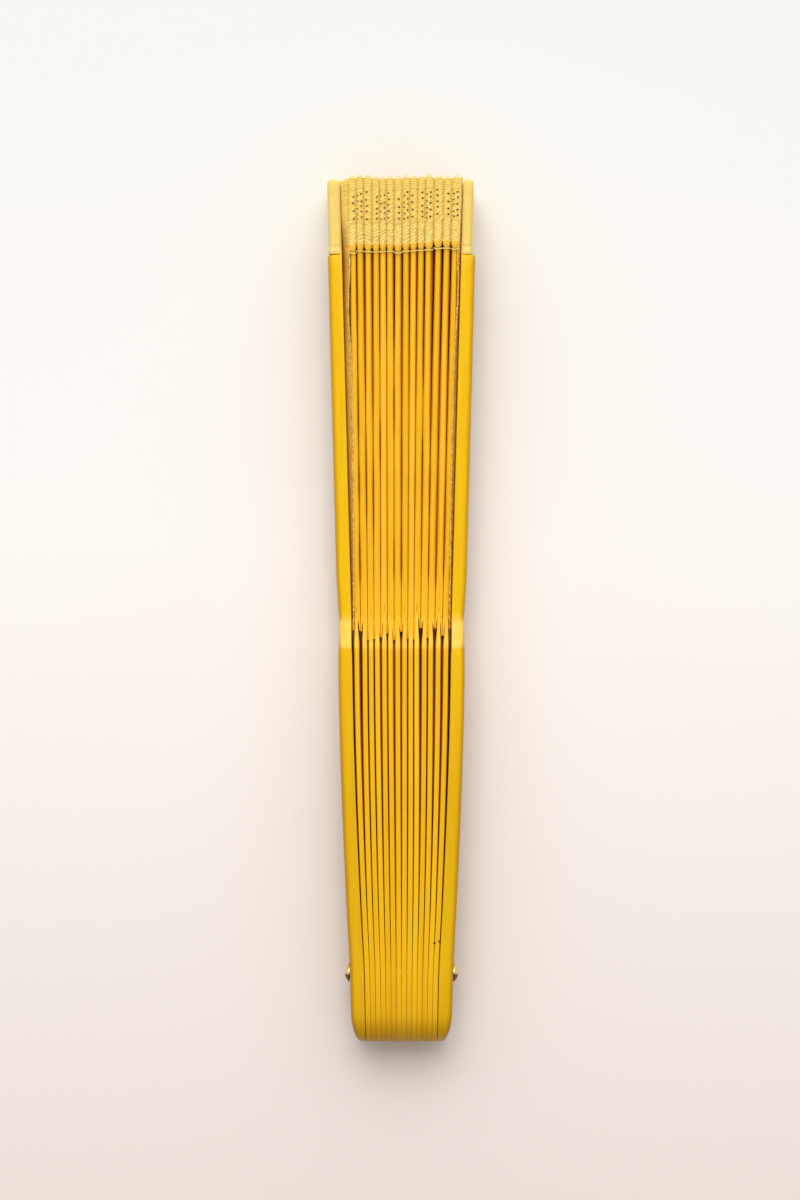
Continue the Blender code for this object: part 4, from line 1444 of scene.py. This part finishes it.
studio = {
    "floorSize": 1.6, "floorSpan": 0.34,
    "floor": ((0.0, colour(227, 216, 209)), (0.55, colour(241, 236, 232)), (1.0, colour(230, 231, 228))),
    "lampPower": 6.3, "lampSize": (0.6, 0.8), "lampAt": (-0.06, 0.62, 1.15), "lampColour": (1.0, 0.985, 0.96),
    "glow": 1.7, "glowTilt": math.radians(58), "horizon": (0.97, 0.95, 0.93, 1.0),
    "sky": ((0.5, 0.07), (0.68, 0.26), (0.88, 0.52), (0.98, 0.74)),
    "cameraAt": (-0.4 * mm, 2.5 * mm, 0.899), "lens": 100.0,
}


def makeFloor():
    shape = bmesh.new()
    bmesh.ops.create_grid(shape, x_segments=1, y_segments=1, size=studio["floorSize"])
    floor = toObject("floor", shape)
    material, tree = startMaterial("floor_paper", Roughness=0.9, Specular_IOR_Level=0.1)
    # painted light: the paper is coloured brightest near the middle, darker towards both ends and warmer towards
    # −Y, standing in for the falloff of the light
    along = parted(tree, stretched(tree, "Object"))[1]
    share = calc(tree, "MULTIPLY_ADD", along, 1 / studio["floorSpan"], 0.5)
    floor.data.materials.append(endMaterial(material, Base_Color=ramp(tree, share, *studio["floor"])))


def makeLamp():
    data = bpy.data.lights.new("key", "AREA")
    data.energy = studio["lampPower"]
    data.shape = "RECTANGLE"
    data.size, data.size_y = studio["lampSize"]
    data.color = studio["lampColour"]
    key = addObject("key", data)
    key.location = studio["lampAt"]
    key.rotation_euler = Vector(studio["lampAt"]).to_track_quat("Z", "Y").to_euler()


def makeSky():
    world = bpy.data.worlds.new("studio")
    world.use_nodes = True
    tree = world.node_tree
    direction = addNode(tree, "ShaderNodeTexCoord").outputs["Generated"]

    def facing(towards, *stops):
        dot = vectorCalc(tree, "DOT_PRODUCT", direction, towards, "Value")
        return ramp(tree, calc(tree, "MULTIPLY_ADD", dot, 0.5, 0.5), *stops)

    # even sky that is dimmer straight above, and a broad glow low down on the side of the tips
    tilt = studio["glowTilt"]
    glow = facing((0.0, math.sin(tilt), math.cos(tilt)), (0.8, 0), (0.98, 1))
    sky = facing((0.0, 0.0, 1.0), *studio["sky"])
    light = calc(tree, "MULTIPLY_ADD", glow, studio["glow"], sky)
    # gloss shows the pale backdrop too, low down on the lit side
    lit = facing((0.0, 1.0, 0.0), (0.4, 0), (0.6, 1))
    low = calc(tree, "MULTIPLY", facing((0.0, 0.0, 1.0), (0.5, 1), (0.7, 0)), lit)
    path = addNode(tree, "ShaderNodeLightPath").outputs
    gloss = calc(tree, "MULTIPLY", path["Is Glossy Ray"], low)
    mirrored = blendColour(tree, gloss, light, studio["horizon"], "LIGHTEN")
    seen = blendColour(tree, path["Is Camera Ray"], mirrored, studio["horizon"])
    tree.links.new(seen, tree.nodes["Background"].inputs["Color"])
    bpy.context.scene.world = world


def makeCamera():
    data = bpy.data.cameras.new("camera")
    data.lens = studio["lens"]
    data.clip_start, data.clip_end = 0.01, 10
    camera = addObject("camera", data)
    camera.location = studio["cameraAt"]
    bpy.context.scene.camera = camera


makeFloor()
makeLamp()
makeSky()
makeCamera()
bpy.context.scene.view_settings.view_transform = "Standard"
print("studio ready")
